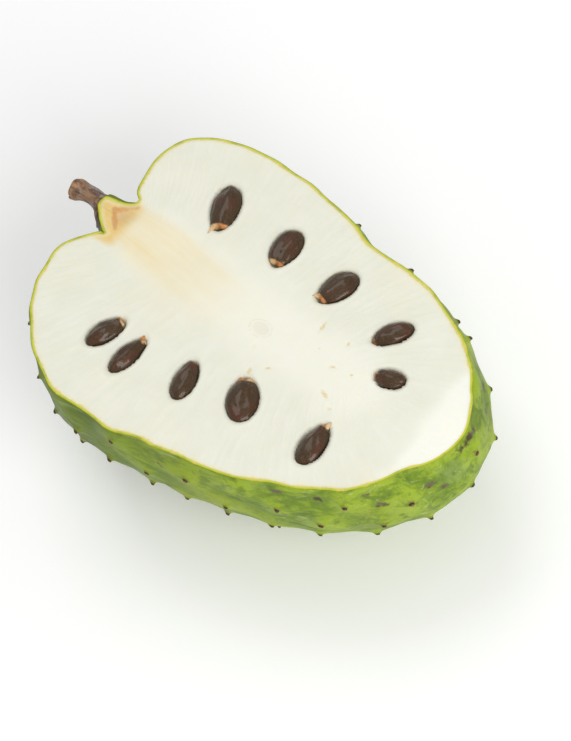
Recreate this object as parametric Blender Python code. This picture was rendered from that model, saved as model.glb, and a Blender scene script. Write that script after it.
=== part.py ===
"""Soursop half: thin spiny green rind, white flesh, ten dark seeds and a woody stalk, cut face up.

Lengths are in metres. X runs along the fruit toward its tip, Y across the cut face, Z up out of it.
"""
import math

import bmesh
import bpy
from mathutils import Matrix, Vector

# Body: an egg about the fruit's centre, with soft swellings and dents on it.
TIP_REACH = 0.1136
SHOULDER_REACH = 0.0447
HALF_WIDTH = 0.0524
# azimuth and elevation in degrees, height in metres, spread in degrees
SWELLINGS = (
    (47.5, 7.0, -0.0043, 10.0),  # dent in one flank
    (122.8, 7.0, 0.0059, 20.0),  # larger shoulder
    (140.2, 7.0, 0.0020, 11.2),  # that shoulder's corner by the stalk
    (-9.0, 4.0, -0.0054, 13.8),  # blunt end of the tip
    (9.8, 5.0, -0.0024, 5.9),  # dent beside it
    (97.0, 9.0, 0.0016, 17.0),  # fuller flank before the larger shoulder
    (127.0, 9.0, 0.0021, 6.0),  # two knuckles on that shoulder
    (141.0, 9.0, 0.0019, 7.0),
    (206.0, 9.0, 0.0011, 16.0),  # fuller smaller shoulder
    (285.0, 9.0, 0.0013, 6.5),  # three waves along the other flank
    (300.0, 9.0, -0.0009, 6.0),
    (319.0, 8.0, 0.0007, 6.0),
    (-4.0, 5.0, -0.0010, 5.0),  # slight dents at the tip
    (18.0, 6.0, -0.0008, 6.0),
    (162.0, 6.0, -0.0212, 16.9),  # hollow round the stalk
    (151.0, 8.0, 0.0024, 5.0),  # fuller skin where that hollow meets the neck
    (236.0, -14.0, -0.0040, 13.0),  # slacker flank under the smaller shoulder
    (0.0, -50.0, 0.0036, 25.0),  # sag of the underside
    (12.0, -28.0, 0.0041, 37.0),  # belly under the tip
    (0.0, -23.4, -0.0013, 14.9),  # flatter underside of the tip
)
CUT_HEIGHT = 0.0086  # of the cut face above the fruit's axis
REST_HEIGHT = -0.0525  # of the flat spot below the fruit's axis
SKIN = 0.0014
GAP = 0.0003
RIND_GRID = 20
FLESH_GRID = 16

# Knife's second stroke, which slopes down across the tip.
FACET_POINT = (0.0995, 0.0, CUT_HEIGHT)
FACET_SLOPE = 8.0
FACET_TURN = 3.0

# Neck and stalk, whose axis lies a little below the cut face.
NECK_ROOT = (-0.0200, 0.0102, 0.0038)
NECK_END = (-0.0433, 0.0128, 0.0050)
NECK_ROOT_RADIUS = 0.0128
NECK_END_RADIUS = 0.0044
STALK_RADIUS = 0.0032
SOCKET_DEPTH = 0.0030
CALYX_RADIUS = 0.0041
CALYX_WIDTH = 0.0012
SEPAL_RADIUS = 0.0013
SEPAL_RUN = ((-0.0018, -0.0030, 0.0), (-0.0014, -0.0066, -0.0004))
# offsets from the neck's end, and girths as shares of the stalk's radius
STALK_BENDS = (
    (0.0, 0.0, 0.0),
    (-0.0050, 0.0007, 0.0),
    (-0.0090, 0.0007, -0.0003),
    (-0.0116, 0.0001, -0.0006),
    (-0.0130, -0.0004, -0.0008),
)
STALK_GIRTHS = (1.0, 0.86, 0.94, 1.16, 0.76)

# Spines stand on a spiral of equal areas round the fruit.
SPINE_COUNT = 225
SPINE_CROWDING = 2.2
SPINE_HEIGHT = 0.0040
SPINE_RADIUS = 0.0026
SPINE_TIP_RADIUS = 0.0005
SPINE_ROOT = 0.0008
SPINE_LEAN = 0.45
SPINE_CLEARANCE = 0.0052
SPINE_RIM_MARGIN = 0.0036
BARE_MIDDLE = (-0.0290, 0.0104, 0.0040)  # of the patch round the stalk that has no spines
BARE_RADIUS = 0.0155
GOLDEN_ANGLE = math.radians(137.508)

# Seeds: x, y, length, width and the way the pale tip points, in degrees.
SEEDS = (
    (-0.0069, 0.0309, 0.0177, 0.0100, -67.0),
    (0.0194, 0.0294, 0.0154, 0.0100, -83.0),
    (0.0426, 0.0267, 0.0157, 0.0103, -109.0),
    (0.0685, 0.0226, 0.0144, 0.0076, -124.0),
    (0.0779, 0.0094, 0.0111, 0.0073, -175.0),
    (-0.0099, -0.0250, 0.0148, 0.0082, 68.0),
    (0.0018, -0.0281, 0.0160, 0.0073, 82.0),
    (0.0232, -0.0254, 0.0154, 0.0083, 105.0),
    (0.0433, -0.0211, 0.0173, 0.0109, 122.0),
    (0.0725, -0.0221, 0.0162, 0.0091, 97.0),
)
SEED_THICKNESS = 0.0064
SEED_DEPTH = 0.0008  # of a seed's middle below the cut face
SEED_SEGMENTS = 14
SEED_RINGS = 9

# The fruit's centre as placed, so that the model stands at the middle of its own foot.
PLACE = Vector((-0.0294, -0.0006, -REST_HEIGHT))


def clear_scene():
    for obj in list(bpy.data.objects):
        bpy.data.objects.remove(obj, do_unlink=True)


def new_collection(name):
    collection = bpy.data.collections.new(name)
    bpy.context.scene.collection.children.link(collection)
    return collection


def new_material(name, colour, roughness):
    material = bpy.data.materials.new(name)
    material.use_nodes = True
    material.diffuse_color = (*colour, 1.0)
    shader = material.node_tree.nodes["Principled BSDF"]
    shader.inputs["Base Color"].default_value = (*colour, 1.0)
    shader.inputs["Roughness"].default_value = roughness
    shader.inputs["Metallic"].default_value = 0.0
    return material


def rind_material():
    return new_material("rind_green", (0.13, 0.22, 0.035), 0.5)


def flesh_material():
    return new_material("flesh_white", (0.84, 0.80, 0.69), 0.45)


def seed_material():
    return new_material("seed_brown", (0.045, 0.020, 0.012), 0.2)


def stalk_material():
    return new_material("stalk_brown", (0.16, 0.075, 0.035), 0.75)


def finish(bm, name, collection, material=None):
    """Make an object of the mesh, with faces out and smooth."""
    bmesh.ops.remove_doubles(bm, verts=bm.verts, dist=1e-6)
    bmesh.ops.recalc_face_normals(bm, faces=bm.faces)
    for face in bm.faces:
        face.smooth = True
    mesh = bpy.data.meshes.new(name)
    bm.to_mesh(mesh)
    bm.free()
    obj = bpy.data.objects.new(name, mesh)
    collection.objects.link(obj)
    if material:
        mesh.materials.append(material)
    return obj


def make_cutter(bm, name, collection):
    cutter = finish(bm, name, collection)
    cutter.hide_render = True
    cutter.display_type = "WIRE"
    return cutter


def heading(azimuth, elevation):
    azimuth = math.radians(azimuth)
    elevation = math.radians(elevation)
    flat = math.cos(elevation)
    return Vector((flat * math.cos(azimuth), flat * math.sin(azimuth), math.sin(elevation)))


def over_egg(ball):
    """Direction in which a point of a unit ball lands when the ball is stretched to the egg."""
    reach = TIP_REACH if ball.x > 0 else SHOULDER_REACH
    return Vector((ball.x * reach, ball.y * HALF_WIDTH, ball.z * HALF_WIDTH)).normalized()


def skin_point(direction):
    """Point of the bare body in a direction from the fruit's centre."""
    along = direction.x
    across = math.sqrt(max(0.0, 1.0 - along * along))
    reach = TIP_REACH if along > 0 else SHOULDER_REACH
    radius = 1.0 / math.hypot(along / reach, across / HALF_WIDTH)
    for azimuth, elevation, height, spread in SWELLINGS:
        away = math.degrees(direction.angle(heading(azimuth, elevation), 0.0))
        radius += height * math.exp(-((away / spread) ** 2))
    return direction * radius


def skin_normal(direction):
    """Way out of the skin, from three nearby points of it."""
    side = direction.orthogonal().normalized()
    other = direction.cross(side)
    step = 0.01
    here = skin_point(direction)
    one = skin_point((direction + side * step).normalized()) - here
    two = skin_point((direction + other * step).normalized()) - here
    return one.cross(two).normalized()


def body_mesh(grid, inset):
    """Closed body whose skin lies the inset inside the fruit's, flat underneath."""
    bm = bmesh.new()
    bmesh.ops.create_cube(bm, size=2.0)
    bmesh.ops.subdivide_edges(bm, edges=bm.edges, cuts=grid - 1, use_grid_fill=True)
    for vert in bm.verts:
        evened = Vector([math.tan(part * math.pi / 4) for part in vert.co])
        vert.co = skin_point(over_egg(evened.normalized()))
    bm.normal_update()
    for vert in bm.verts:
        vert.co -= vert.normal * inset
        vert.co.z = max(vert.co.z, REST_HEIGHT + inset)
    bmesh.ops.triangulate(bm, faces=bm.faces, quad_method="FIXED")
    return bm


def turned(start, end):
    """Placing of a shape along Z so that it runs from start to end."""
    start = Vector(start)
    end = Vector(end)
    turn = (end - start).to_track_quat("Z", "Y").to_matrix().to_4x4()
    return Matrix.Translation((start + end) / 2) @ turn


def add_cone(bm, start, end, radius1, radius2, segments):
    length = (Vector(end) - Vector(start)).length
    bmesh.ops.create_cone(
        bm,
        cap_ends=True,
        cap_tris=False,
        segments=segments,
        radius1=radius1,
        radius2=radius2,
        depth=length,
        matrix=turned(start, end),
    )


def neck_mesh(inset, reach):
    """Neck between body and stalk; the reach lengthens or shortens its free end."""
    bm = bmesh.new()
    root = Vector(NECK_ROOT)
    end = Vector(NECK_END)
    end += (end - root).normalized() * reach
    add_cone(bm, root, end, NECK_ROOT_RADIUS - inset, NECK_END_RADIUS - inset, 20)
    return bm


def spine_directions():
    """Golden-angle spiral round X with equal shares of skin, smaller ones toward the stalk."""
    steps = 2000
    strips = []
    for step in range(steps):
        angle = math.pi * (step + 0.5) / steps
        reach = TIP_REACH if angle < math.pi / 2 else SHOULDER_REACH
        strip = math.sin(angle) * math.hypot(reach * math.sin(angle), HALF_WIDTH * math.cos(angle))
        crowd = 1.0 + (SPINE_CROWDING - 1.0) * max(0.0, -math.cos(angle))
        strips.append((angle, strip * crowd))
    share = sum(strip for angle, strip in strips) / SPINE_COUNT
    passed = 0.0
    index = 0
    for angle, strip in strips:
        passed += strip
        if passed > (index + 0.5) * share:
            turn = index * GOLDEN_ANGLE
            around = math.sin(angle)
            ball = Vector((math.cos(angle), around * math.cos(turn), around * math.sin(turn)))
            yield index, over_egg(ball)
            index += 1


def spine_fits(base):
    """True for a spine clear of the cut faces, the stalk's hollow and the flat spot."""
    if base.z > CUT_HEIGHT - SPINE_RIM_MARGIN:
        return False
    if (base - Vector(FACET_POINT)).dot(knife_normal()) > -SPINE_RIM_MARGIN:
        return False
    if base.z < REST_HEIGHT + SPINE_CLEARANCE:
        return False
    return (base - Vector(BARE_MIDDLE)).length > BARE_RADIUS


def spines_mesh():
    """All spines of the half as short blunt cones that lean toward the tip."""
    bm = bmesh.new()
    for index, direction in spine_directions():
        base = skin_point(direction)
        if not spine_fits(base):
            continue
        normal = skin_normal(direction)
        size = 0.88 + 0.24 * ((index * 7) % 10) / 9
        if base.x < -0.02:
            size *= 0.8
        leaning = (normal + Vector((SPINE_LEAN, 0.0, 0.0))).normalized()
        tip = base + leaning * SPINE_HEIGHT * size
        tip.z = max(tip.z, REST_HEIGHT + SPINE_TIP_RADIUS)
        root = base - normal * SPINE_ROOT
        add_cone(bm, root, tip, SPINE_RADIUS * size, SPINE_TIP_RADIUS, 6)
    return bm


def knife_normal():
    slope = math.radians(FACET_SLOPE)
    turn = math.radians(FACET_TURN)
    flat = math.sin(slope)
    return Vector((flat * math.cos(turn), flat * math.sin(turn), math.cos(slope)))


def knife_mesh(normal, point):
    """Big block that removes all above a plane."""
    size = 0.4
    bm = bmesh.new()
    bmesh.ops.create_cube(bm, size=size)
    turn = normal.to_track_quat("Z", "Y").to_matrix().to_4x4()
    place = Matrix.Translation(Vector(point) + normal * size / 2) @ turn
    bmesh.ops.transform(bm, matrix=place, verts=bm.verts)
    return bm


def socket_mesh():
    """Bore in the neck that takes the stalk's root."""
    root = Vector(NECK_ROOT)
    end = Vector(NECK_END)
    out = (end - root).normalized()
    bm = bmesh.new()
    add_cone(bm, end - out * SOCKET_DEPTH, end + out * 0.01, STALK_RADIUS + GAP, STALK_RADIUS + GAP, 20)
    return bm


def seed_point(co, length, width, swell):
    """Egg-shaped seed along X: its pale tip at +X is narrower and its back rounder."""
    x, y, z = co
    taper = 1.0 - 0.11 * x - 0.04 * x * x
    lift = 1.0 - 0.07 * x
    return Vector((
        x * (length / 2 + swell),
        y * (width / 2 + swell) * taper,
        z * (SEED_THICKNESS / 2 + swell) * lift,
    ))


def seed_mesh(seed, swell=0.0):
    x, y, length, width, pointing = seed
    bm = bmesh.new()
    bmesh.ops.create_uvsphere(
        bm,
        u_segments=SEED_SEGMENTS,
        v_segments=SEED_RINGS,
        radius=1.0,
        matrix=Matrix.Rotation(math.pi / 2, 4, "Y"),
    )
    for vert in bm.verts:
        vert.co = seed_point(vert.co, length, width, swell)
    turn = Matrix.Rotation(math.radians(pointing), 4, "Z")
    place = Matrix.Translation((x, y, CUT_HEIGHT - SEED_DEPTH)) @ turn
    bmesh.ops.transform(bm, matrix=place, verts=bm.verts)
    return bm


def stalk_tube(collection):
    """Bent tube from the bottom of its socket to its knobby end."""
    root = Vector(NECK_ROOT)
    end = Vector(NECK_END)
    out = (end - root).normalized()
    curve = bpy.data.curves.new("stalk_run", "CURVE")
    curve.dimensions = "3D"
    curve.bevel_depth = STALK_RADIUS
    curve.bevel_resolution = 2
    curve.use_fill_caps = True
    curve.resolution_u = 3
    spline = curve.splines.new("NURBS")
    spline.points.add(len(STALK_BENDS))
    spline.use_endpoint_u = True
    spline.order_u = 3
    spots = [end - out * (SOCKET_DEPTH - GAP)]
    spots += [end + Vector(bend) for bend in STALK_BENDS]
    for point, spot, girth in zip(spline.points, spots, (1.0,) + STALK_GIRTHS):
        point.co = (*spot, 1.0)
        point.radius = girth
    run = bpy.data.objects.new("stalk_run", curve)
    collection.objects.link(run)
    mesh = bpy.data.meshes.new_from_object(run.evaluated_get(bpy.context.evaluated_depsgraph_get()))
    bpy.data.objects.remove(run, do_unlink=True)
    bm = bmesh.new()
    bm.from_mesh(mesh)
    return bm


def calyx_mesh():
    """Dried collar round the stalk where it leaves the neck, with what is left of one sepal."""
    root = Vector(NECK_ROOT)
    end = Vector(NECK_END)
    out = (end - root).normalized()
    bm = bmesh.new()
    start = end + out * GAP
    add_cone(bm, start, start + out * CALYX_WIDTH, CALYX_RADIUS, STALK_RADIUS * 1.12, 16)
    return bm


def sepal_mesh():
    end = Vector(NECK_END)
    bm = bmesh.new()
    foot, tip = (end + Vector(offset) for offset in SEPAL_RUN)
    add_cone(bm, foot, tip, SEPAL_RADIUS, SEPAL_RADIUS / 3, 6)
    return bm


def boolean(obj, operation, other):
    modifier = obj.modifiers.new(other.name, "BOOLEAN")
    modifier.operation = operation
    modifier.solver = "EXACT"
    modifier.object = other


def place_all(objects):
    for obj in objects:
        obj.location = PLACE


def main():
    clear_scene()
    fruit = new_collection("soursop_half")
    cutters = new_collection("cutters")

    knives = [
        make_cutter(knife_mesh(Vector((0, 0, 1)), (0.0, 0.0, CUT_HEIGHT)), "knife_cut", cutters),
        make_cutter(knife_mesh(knife_normal(), FACET_POINT), "knife_tip", cutters),
    ]
    socket = make_cutter(socket_mesh(), "socket_bore", cutters)

    rind = finish(body_mesh(RIND_GRID, 0.0), "rind", fruit, rind_material())
    boolean(rind, "UNION", make_cutter(neck_mesh(0.0, 0.0), "neck_outside", cutters))
    boolean(rind, "UNION", make_cutter(spines_mesh(), "spine_cones", cutters))
    boolean(rind, "DIFFERENCE", make_cutter(body_mesh(FLESH_GRID, SKIN), "rind_hollow", cutters))
    boolean(rind, "DIFFERENCE", make_cutter(neck_mesh(SKIN, -0.0005), "neck_hollow", cutters))
    for knife in knives:
        boolean(rind, "DIFFERENCE", knife)
    boolean(rind, "DIFFERENCE", socket)

    flesh = finish(body_mesh(FLESH_GRID, SKIN + GAP), "flesh", fruit, flesh_material())
    neck_core = make_cutter(neck_mesh(SKIN + GAP, -0.0008), "neck_core", cutters)
    boolean(flesh, "UNION", neck_core)
    for knife in knives:
        boolean(flesh, "DIFFERENCE", knife)
    boolean(flesh, "DIFFERENCE", socket)

    brown = seed_material()
    seeds = []
    for number, seed in enumerate(SEEDS, 1):
        name = "seed_%02d" % number
        seeds.append(finish(seed_mesh(seed), name, fruit, brown))
        pocket = make_cutter(seed_mesh(seed, GAP), "pocket_%02d" % number, cutters)
        boolean(flesh, "DIFFERENCE", pocket)

    stalk = finish(stalk_tube(cutters), "stalk", fruit, stalk_material())
    boolean(stalk, "UNION", make_cutter(calyx_mesh(), "calyx_collar", cutters))
    boolean(stalk, "UNION", make_cutter(sepal_mesh(), "sepal_stub", cutters))

    place_all(list(fruit.objects) + list(cutters.objects))


main()
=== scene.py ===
"""Soursop half: the looks of its rind, flesh, seeds and stalk, with a studio stage.

The pieces are modelled about the fruit's centre, with X toward the fruit's tip and Z out of the cut
face, and then set down where the frame has them. Lengths are in metres.
"""
import cmath
import math
from bisect import bisect_left

import bmesh
import bpy
from bpy.props import FloatProperty, FloatVectorProperty, IntProperty, PointerProperty
from mathutils import Matrix, Vector, noise
from mathutils.kdtree import KDTree


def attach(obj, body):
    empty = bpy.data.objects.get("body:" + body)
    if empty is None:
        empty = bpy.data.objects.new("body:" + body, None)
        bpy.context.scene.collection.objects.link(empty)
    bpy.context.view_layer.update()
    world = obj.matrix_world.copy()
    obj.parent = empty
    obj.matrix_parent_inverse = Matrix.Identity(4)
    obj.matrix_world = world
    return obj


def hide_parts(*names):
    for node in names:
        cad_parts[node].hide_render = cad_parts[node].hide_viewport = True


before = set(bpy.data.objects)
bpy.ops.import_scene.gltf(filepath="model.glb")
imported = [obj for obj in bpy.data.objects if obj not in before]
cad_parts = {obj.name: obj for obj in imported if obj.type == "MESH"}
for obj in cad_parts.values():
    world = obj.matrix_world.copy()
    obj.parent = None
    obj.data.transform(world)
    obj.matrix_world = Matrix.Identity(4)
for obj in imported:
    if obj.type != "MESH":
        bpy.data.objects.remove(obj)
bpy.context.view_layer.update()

bl_info = {
    "name": "Soursop Half",
    "version": (1, 0, 0),
    "blender": (4, 5, 0),
    "location": "3D View > Sidebar > Soursop",
    "description": "Models and finishes a soursop half: spiny rind, white flesh, seeds and stalk",
    "category": "Add Mesh",
}

# Body: the frame's egg with its swellings, and one swelling more, for the rim before the tip.
CENTRE = Vector((-0.0294, -0.0006, 0.0525))
TIP_REACH = 0.1136
SHOULDER_REACH = 0.0447
HALF_WIDTH = 0.0524
# azimuth and elevation in degrees, height, and spread in degrees
SWELLINGS = (
    (47.5, 7.0, -0.0043, 10.0),  # dent in one flank
    (122.8, 7.0, 0.0059, 20.0),  # larger shoulder
    (140.2, 7.0, 0.0020, 11.2),  # that shoulder's corner by the stalk
    (-9.0, 4.0, -0.0054, 13.8),  # blunt end of the tip
    (9.8, 5.0, -0.0024, 5.9),  # dent beside it
    (97.0, 9.0, 0.0016, 17.0),  # fuller flank before the larger shoulder
    (127.0, 9.0, 0.0021, 6.0),  # two knuckles on that shoulder
    (141.0, 9.0, 0.0019, 7.0),
    (206.0, 9.0, 0.0011, 16.0),  # fuller smaller shoulder
    (285.0, 9.0, 0.0013, 6.5),  # three waves along the other flank
    (300.0, 9.0, -0.0009, 6.0),
    (319.0, 8.0, 0.0007, 6.0),
    (-4.0, 5.0, -0.0010, 5.0),  # slight dents at the tip
    (18.0, 6.0, -0.0008, 6.0),
    (162.0, 6.0, -0.0212, 16.9),  # hollow round the stalk
    (151.0, 8.0, 0.0024, 5.0),  # fuller skin where that hollow meets the neck
    (236.0, -14.0, -0.0040, 13.0),  # slacker flank under the smaller shoulder
    (0.0, -50.0, 0.0036, 25.0),  # sag of the underside
    (12.0, -28.0, 0.0041, 37.0),  # belly under the tip
    (0.0, -23.4, -0.0013, 14.9),  # flatter underside of the tip
    (342.0, 5.1, 0.0026, 5.0),  # fuller stretch of the rim before the tip
)
REST_HEIGHT = -0.0525  # of the flat spot underneath

# Cut face: level, then a facet that slopes down across the tip, with a soft edge between.
CUT_HEIGHT = 0.0086
FACET_POINT = Vector((0.0995, 0.0, CUT_HEIGHT))
FACET_SLOPE = 8.0
FACET_TURN = 3.0
FACET_SOFTNESS = 0.0010
CUT_SNAP = 0.0007  # how near a vertex lies to a cut when it is moved onto it

# Neck that carries the stalk.
NECK_ROOT = Vector((-0.0290, 0.0104, 0.0040))
NECK_END = Vector((-0.0433, 0.0128, 0.0050))
NECK_RADIUS = 0.0098
RING_WIDTH = 1.15  # of each ring of skin that is drawn out into the neck, in edges of a cell
# distance out from the neck's root, radius, drift across the axis, and value of the attribute that
# browns it
NECK_STEPS = (
    (0.0022, 0.0092, -0.0007, 0.05),
    (0.0044, 0.0084, -0.0010, 0.10),
    (0.0064, 0.0075, -0.0012, 0.18),
    (0.0086, 0.0065, -0.0012, 0.28),
    (0.0108, 0.0057, -0.0008, 0.40),
    (0.0128, 0.0050, -0.0005, 0.52),
    (0.0142, 0.0045, -0.0002, 0.60),
    (0.0147, 0.0037, -0.0001, 0.66),
)

# Distance across the neck over which its skin turns from green to dry and brown, and how far the
# browning is held back on its green side.
NECK_WITHERED = 0.0030
NECK_FRESHEST = -0.6

# Relief of the skin. The scales of the wrinkles are along X and across it.
MOUND_REACH = 0.0060
MOUND_SUNK = 0.18  # share of a mound's height that the skin all over is lowered by
WRINKLE_SCALES = (70, 190)
WRINKLE_HEIGHT = 0.00042
LUMP_SCALE = 90
LUMP_SHIFT = Vector((7.0, 3.0, 1.0))
LUMP_HEIGHT = 0.00060
BELLY_FULLNESS = 0.0005  # of the skin below the rim
BELLY_DEPTHS = (0.002, 0.016)  # below the cut, between which the skin fills out
PAINTED_SHADE_SPAN = (-0.030, 0.075)  # X where the painted shade on the skin is fullest, toward the stalk, and gone, toward the tip

# Spines: how many feet are set out over the whole body, and how many times denser they stand at the
# stalk's end.
SPINE_COUNT = 225
SPINE_CROWDING = 2.2
SPINE_MARGIN = 0.0036
SPINE_CLEARANCE = 0.0052
BARE_RADIUS = 0.0155  # of the skin round the neck's root that has no spines
GOLDEN_ANGLE = math.radians(137.508)
# share of the height, share of the foot's radius, and value of the attribute that browns the spine
SPINE_STEPS = (
    (0.30, 0.66, 0.22),
    (0.62, 0.46, 0.58),
    (0.90, 0.36, 0.86),
    (1.0, 0.20, 1.0),
)
SPINE_LEAN = 0.40
SPINE_BEND = 1.6  # how late in its height a spine leans
# share of the set height and radius that the smallest spine has, and how much more the largest has
SPINE_HEIGHTS = (0.70, 0.45)
SPINE_GIRTHS = (0.85, 0.2)
# spines beyond this X, toward the stalk, are stunted to these shares
STUNTED_FROM = -0.02
STUNTED_GIRTH = 0.72
STUNTED_HEIGHT = 0.75

# Rim of the cut rind, from the skin inward: way in, at most the skin's thickness, and value of the rim
# attribute.
RIM_STEPS = (
    (0.00012, 0.15),
    (0.00032, 0.40),
    (0.00060, 0.70),
    (1.0, 1.0),
)
RIM_ROUNDING = 0.00012
RIM_SMOOTHING = 4
WALL_DROP = 0.0019  # of the wall that runs down from the rim's inner edge
WALL_LEAN = 0.00015

# Creases beside the neck, and how far the skin in them is pushed back out.
CREASES = (Vector((-0.0322, 0.0018, CUT_HEIGHT)), Vector((-0.0295, 0.0174, CUT_HEIGHT)))
CREASE_REACH = 0.0034
CREASE_SMOOTHING = 30
CREASE_FILLED = Vector((-0.0017, 0.0003, 0.0))
CREASE_LEAST = 0.05  # share of a crease below which the skin is left as it is
CREASE_BROWN = 0.55

# Bowl that closes the rind inside, and the flesh's a little inside that.
BOWL_INSET = 0.0023
BOWL_DROP = 0.0024
BOWL_CELLS = 22
FLESH_GAP = 0.0002  # between the two bowls, and how far the flesh's edge leans in
FLESH_DROP = WALL_DROP - 0.0003
FLESH_BOWL_DROP = FLESH_DROP + 0.0004

# Seeds: x, y, length, width, the way the pale tip points in degrees, size of the pale tip, roll in
# degrees, length of the shred on the tip, negative on its right side, and how pointed the tip is.
SEEDS = (
    (-0.0069, 0.0309, 0.0177, 0.0100, -67.0, 0.90, 8.0, -0.0026, 0.0),
    (0.0194, 0.0294, 0.0154, 0.0100, -83.0, 1.00, -6.0, 0.0, 0.0),
    (0.0426, 0.0267, 0.0157, 0.0103, -109.0, 0.85, 10.0, -0.0012, 0.1),
    (0.0685, 0.0226, 0.0144, 0.0076, -124.0, 0.12, -10.0, 0.0, 0.1),
    (0.0779, 0.0094, 0.0111, 0.0073, -165.0, 0.35, 6.0, 0.0, 0.35),
    (-0.0099, -0.0250, 0.0148, 0.0082, 68.0, 0.60, -8.0, 0.0, 0.1),
    (0.0018, -0.0281, 0.0160, 0.0073, 82.0, 0.40, 9.0, 0.0012, 0.5),
    (0.0232, -0.0254, 0.0154, 0.0083, 105.0, 0.10, -7.0, 0.0, 0.6),
    (0.0433, -0.0211, 0.0173, 0.0109, 122.0, 0.80, 5.0, 0.0, 0.0),
    (0.0725, -0.0221, 0.0162, 0.0091, 97.0, 0.35, -9.0, -0.0018, 0.5),
)
SEED_SNUG = 0.95  # how far out in a seed's outline the flesh closes on it
SEED_THICKNESS = 0.0064
SEED_DEPTH = 0.0008
SEED_LANE = 0.016  # farther than this from a seed's middle, the flesh is free of it
# kept back from a seed's half length and half width, and twice from half its thickness, for what
# its facets add
SEED_SWELL = 0.00036
# height of the relief, and scale of its noise
SEED_FACETS = (0.00055, 1.5)
SEED_DENTS = (0.00020, 4.0)
KEEL_HEIGHT = 0.00026
CLEFT_DEPTH = 0.0011
CLEFT_WIDTH = 0.0008
TIP_FLATTENED = 0.0008
TIP_RAGGED = 0.00045
# shred on a seed's tip: share of its length, and share of its foot's radius
TAIL_RADIUS = 0.0009
TAIL_STEPS = ((0.35, 0.75), (0.7, 0.55), (1.0, 0.28))

# Lip of flesh that stands up round a seed, and the ring of painted shadow beside it.
LIP_HEIGHT = 0.00012
RING_REACH = 0.0009

# Stalk: offsets from the neck's end, and girths as shares of its radius.
STALK_RUN = (
    (0.0022, -0.0006, -0.0004, 0.98),
    (0.0003, -0.0005, -0.0004, 1.08),
    (-0.0008, -0.0002, -0.0003, 1.06),
    (-0.0022, 0.0002, -0.0002, 0.98),
    (-0.0044, 0.0006, -0.0001, 0.92),
    (-0.0066, 0.0008, -0.0001, 0.93),
    (-0.0084, 0.0007, -0.0003, 0.98),
    (-0.0098, 0.0004, -0.0004, 1.08),
    (-0.0110, 0.0001, -0.0006, 1.17),
    (-0.0121, -0.0002, -0.0007, 1.16),
    (-0.0129, -0.0004, -0.0008, 0.98),
    (-0.0133, -0.0004, -0.0008, 0.60),
    (-0.0130, -0.0004, -0.0008, 0.28),
)

STALK_WAY = Vector((-1.0, 0.0, 0.0))
STALK_SIDES = 24
KNOB_RUN = (0.0092, 0.0118)  # distance along the stalk over which the knob begins
TORN_RUN = (0.0118, 0.0136)  # and over which its torn end darkens
COLLAR_REACH = 0.0011
# scales of the bark's noise: its cracks along X and across it, its knots and its tears
CRACK_SCALES = (130, 620)
KNOT_SCALE = 320
KNOT_SHIFT = Vector((5.0, 0.0, 2.0))
TEAR_SCALE = 500

# The stalk's root stays under the neck's cut face.
ROOT_LENGTH = 0.0012
ROOT_BELOW_CUT = 0.0003

# Dried sepal: its ends from the neck's end, its radii there, and how flat it is.
SEPAL_ROOT = Vector((0.0006, -0.0030, -0.0006))
SEPAL_END = Vector((0.0036, -0.0084, -0.0010))
SEPAL_RADII = (0.0014, 0.0006)
SEPAL_FLATNESS = 0.6

# Attributes that mark the flesh for its finish, in the order in which both use them.
FLESH_MARKS = ("edge", "shade", "fan", "neck", "hollow", "wall", "fleck", "core", "oval", "slope")

# Flesh: the middle from which its cut face is laid out, and the line of the fruit's core.
FLESH_MIDDLE = Vector((0.0250, 0.0, 0.0))
CORE_START = Vector((-0.0330, 0.0100, 0.0))
CORE_END = Vector((0.0700, 0.0010, 0.0))
CORE_REACH = 0.013
EDGE_WIDTH = 0.004  # of the yellower flesh along the rind

# Relief of the flesh: height, scale of its noise, and sheet of the noise.
FLESH_LUMPS = (0.00014, 80, 3.0)
FLESH_GRAIN = (0.00005, 260, 9.0)
FAN_RIDGES = (0.00012, 4, 5.0)
RIM_FREE = 0.0010  # distance from the rind over which the relief begins
SLOPE_RAGGED = (0.0022, 90, 2.0)

# Fan of tan fibres out of the neck: its middle line, and half its width, along X.
FAN_START = -0.0310
FAN_MIDDLE = 0.0089
FAN_DRIFT = -0.134
FAN_HALF = 0.0078
FAN_WIDENING = 0.0036
FAN_FADE = (-0.026, 0.034)
FAN_PALER = 0.60  # how much weaker the tan is on the side of the fan toward -Y
# X over which the neck's yellow flesh ends, and distance from the middle line over which it does
NECK_MOUTH = (-0.0318, -0.0268)
NECK_CLEAR = (0.0070, 0.0100)

# Brown scars on the rind, most of them by the tip: x, y, z, length, width, and the turn of each about X
# and Z in degrees.
SCARS = (
    (0.1105, 0.0060, 0.0052, 0.0100, 0.0017, 10.0, 92.0),
    (0.1102, 0.0010, 0.0040, 0.0040, 0.0016, -20.0, 80.0),
    (0.0962, -0.0241, 0.0042, 0.0042, 0.0015, 50.0, 60.0),
    (0.0986, -0.0230, -0.0021, 0.0032, 0.0022, 0.0, 50.0),
    (0.1079, -0.0108, -0.0004, 0.0030, 0.0015, 60.0, 70.0),
    (0.1102, -0.0072, -0.0038, 0.0026, 0.0014, 20.0, 70.0),
    (0.1003, 0.0258, 0.0004, 0.0034, 0.0014, 40.0, 120.0),
    (0.1057, 0.0200, -0.0011, 0.0026, 0.0013, 70.0, 110.0),
    (0.0837, -0.0343, 0.0033, 0.0034, 0.0014, 30.0, 40.0),
    (0.0584, -0.0452, 0.0041, 0.0030, 0.0016, 20.0, 20.0),
    (0.0721, -0.0401, 0.0054, 0.0028, 0.0012, 0.0, 30.0),
    (0.0320, -0.0500, 0.0010, 0.0040, 0.0016, 15.0, 10.0),
    (0.0120, -0.0515, -0.0040, 0.0030, 0.0015, 40.0, 0.0),
)
SCAR_SPREAD = 0.86  # share of a scar's measures at which its distance is counted as 1

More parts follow.
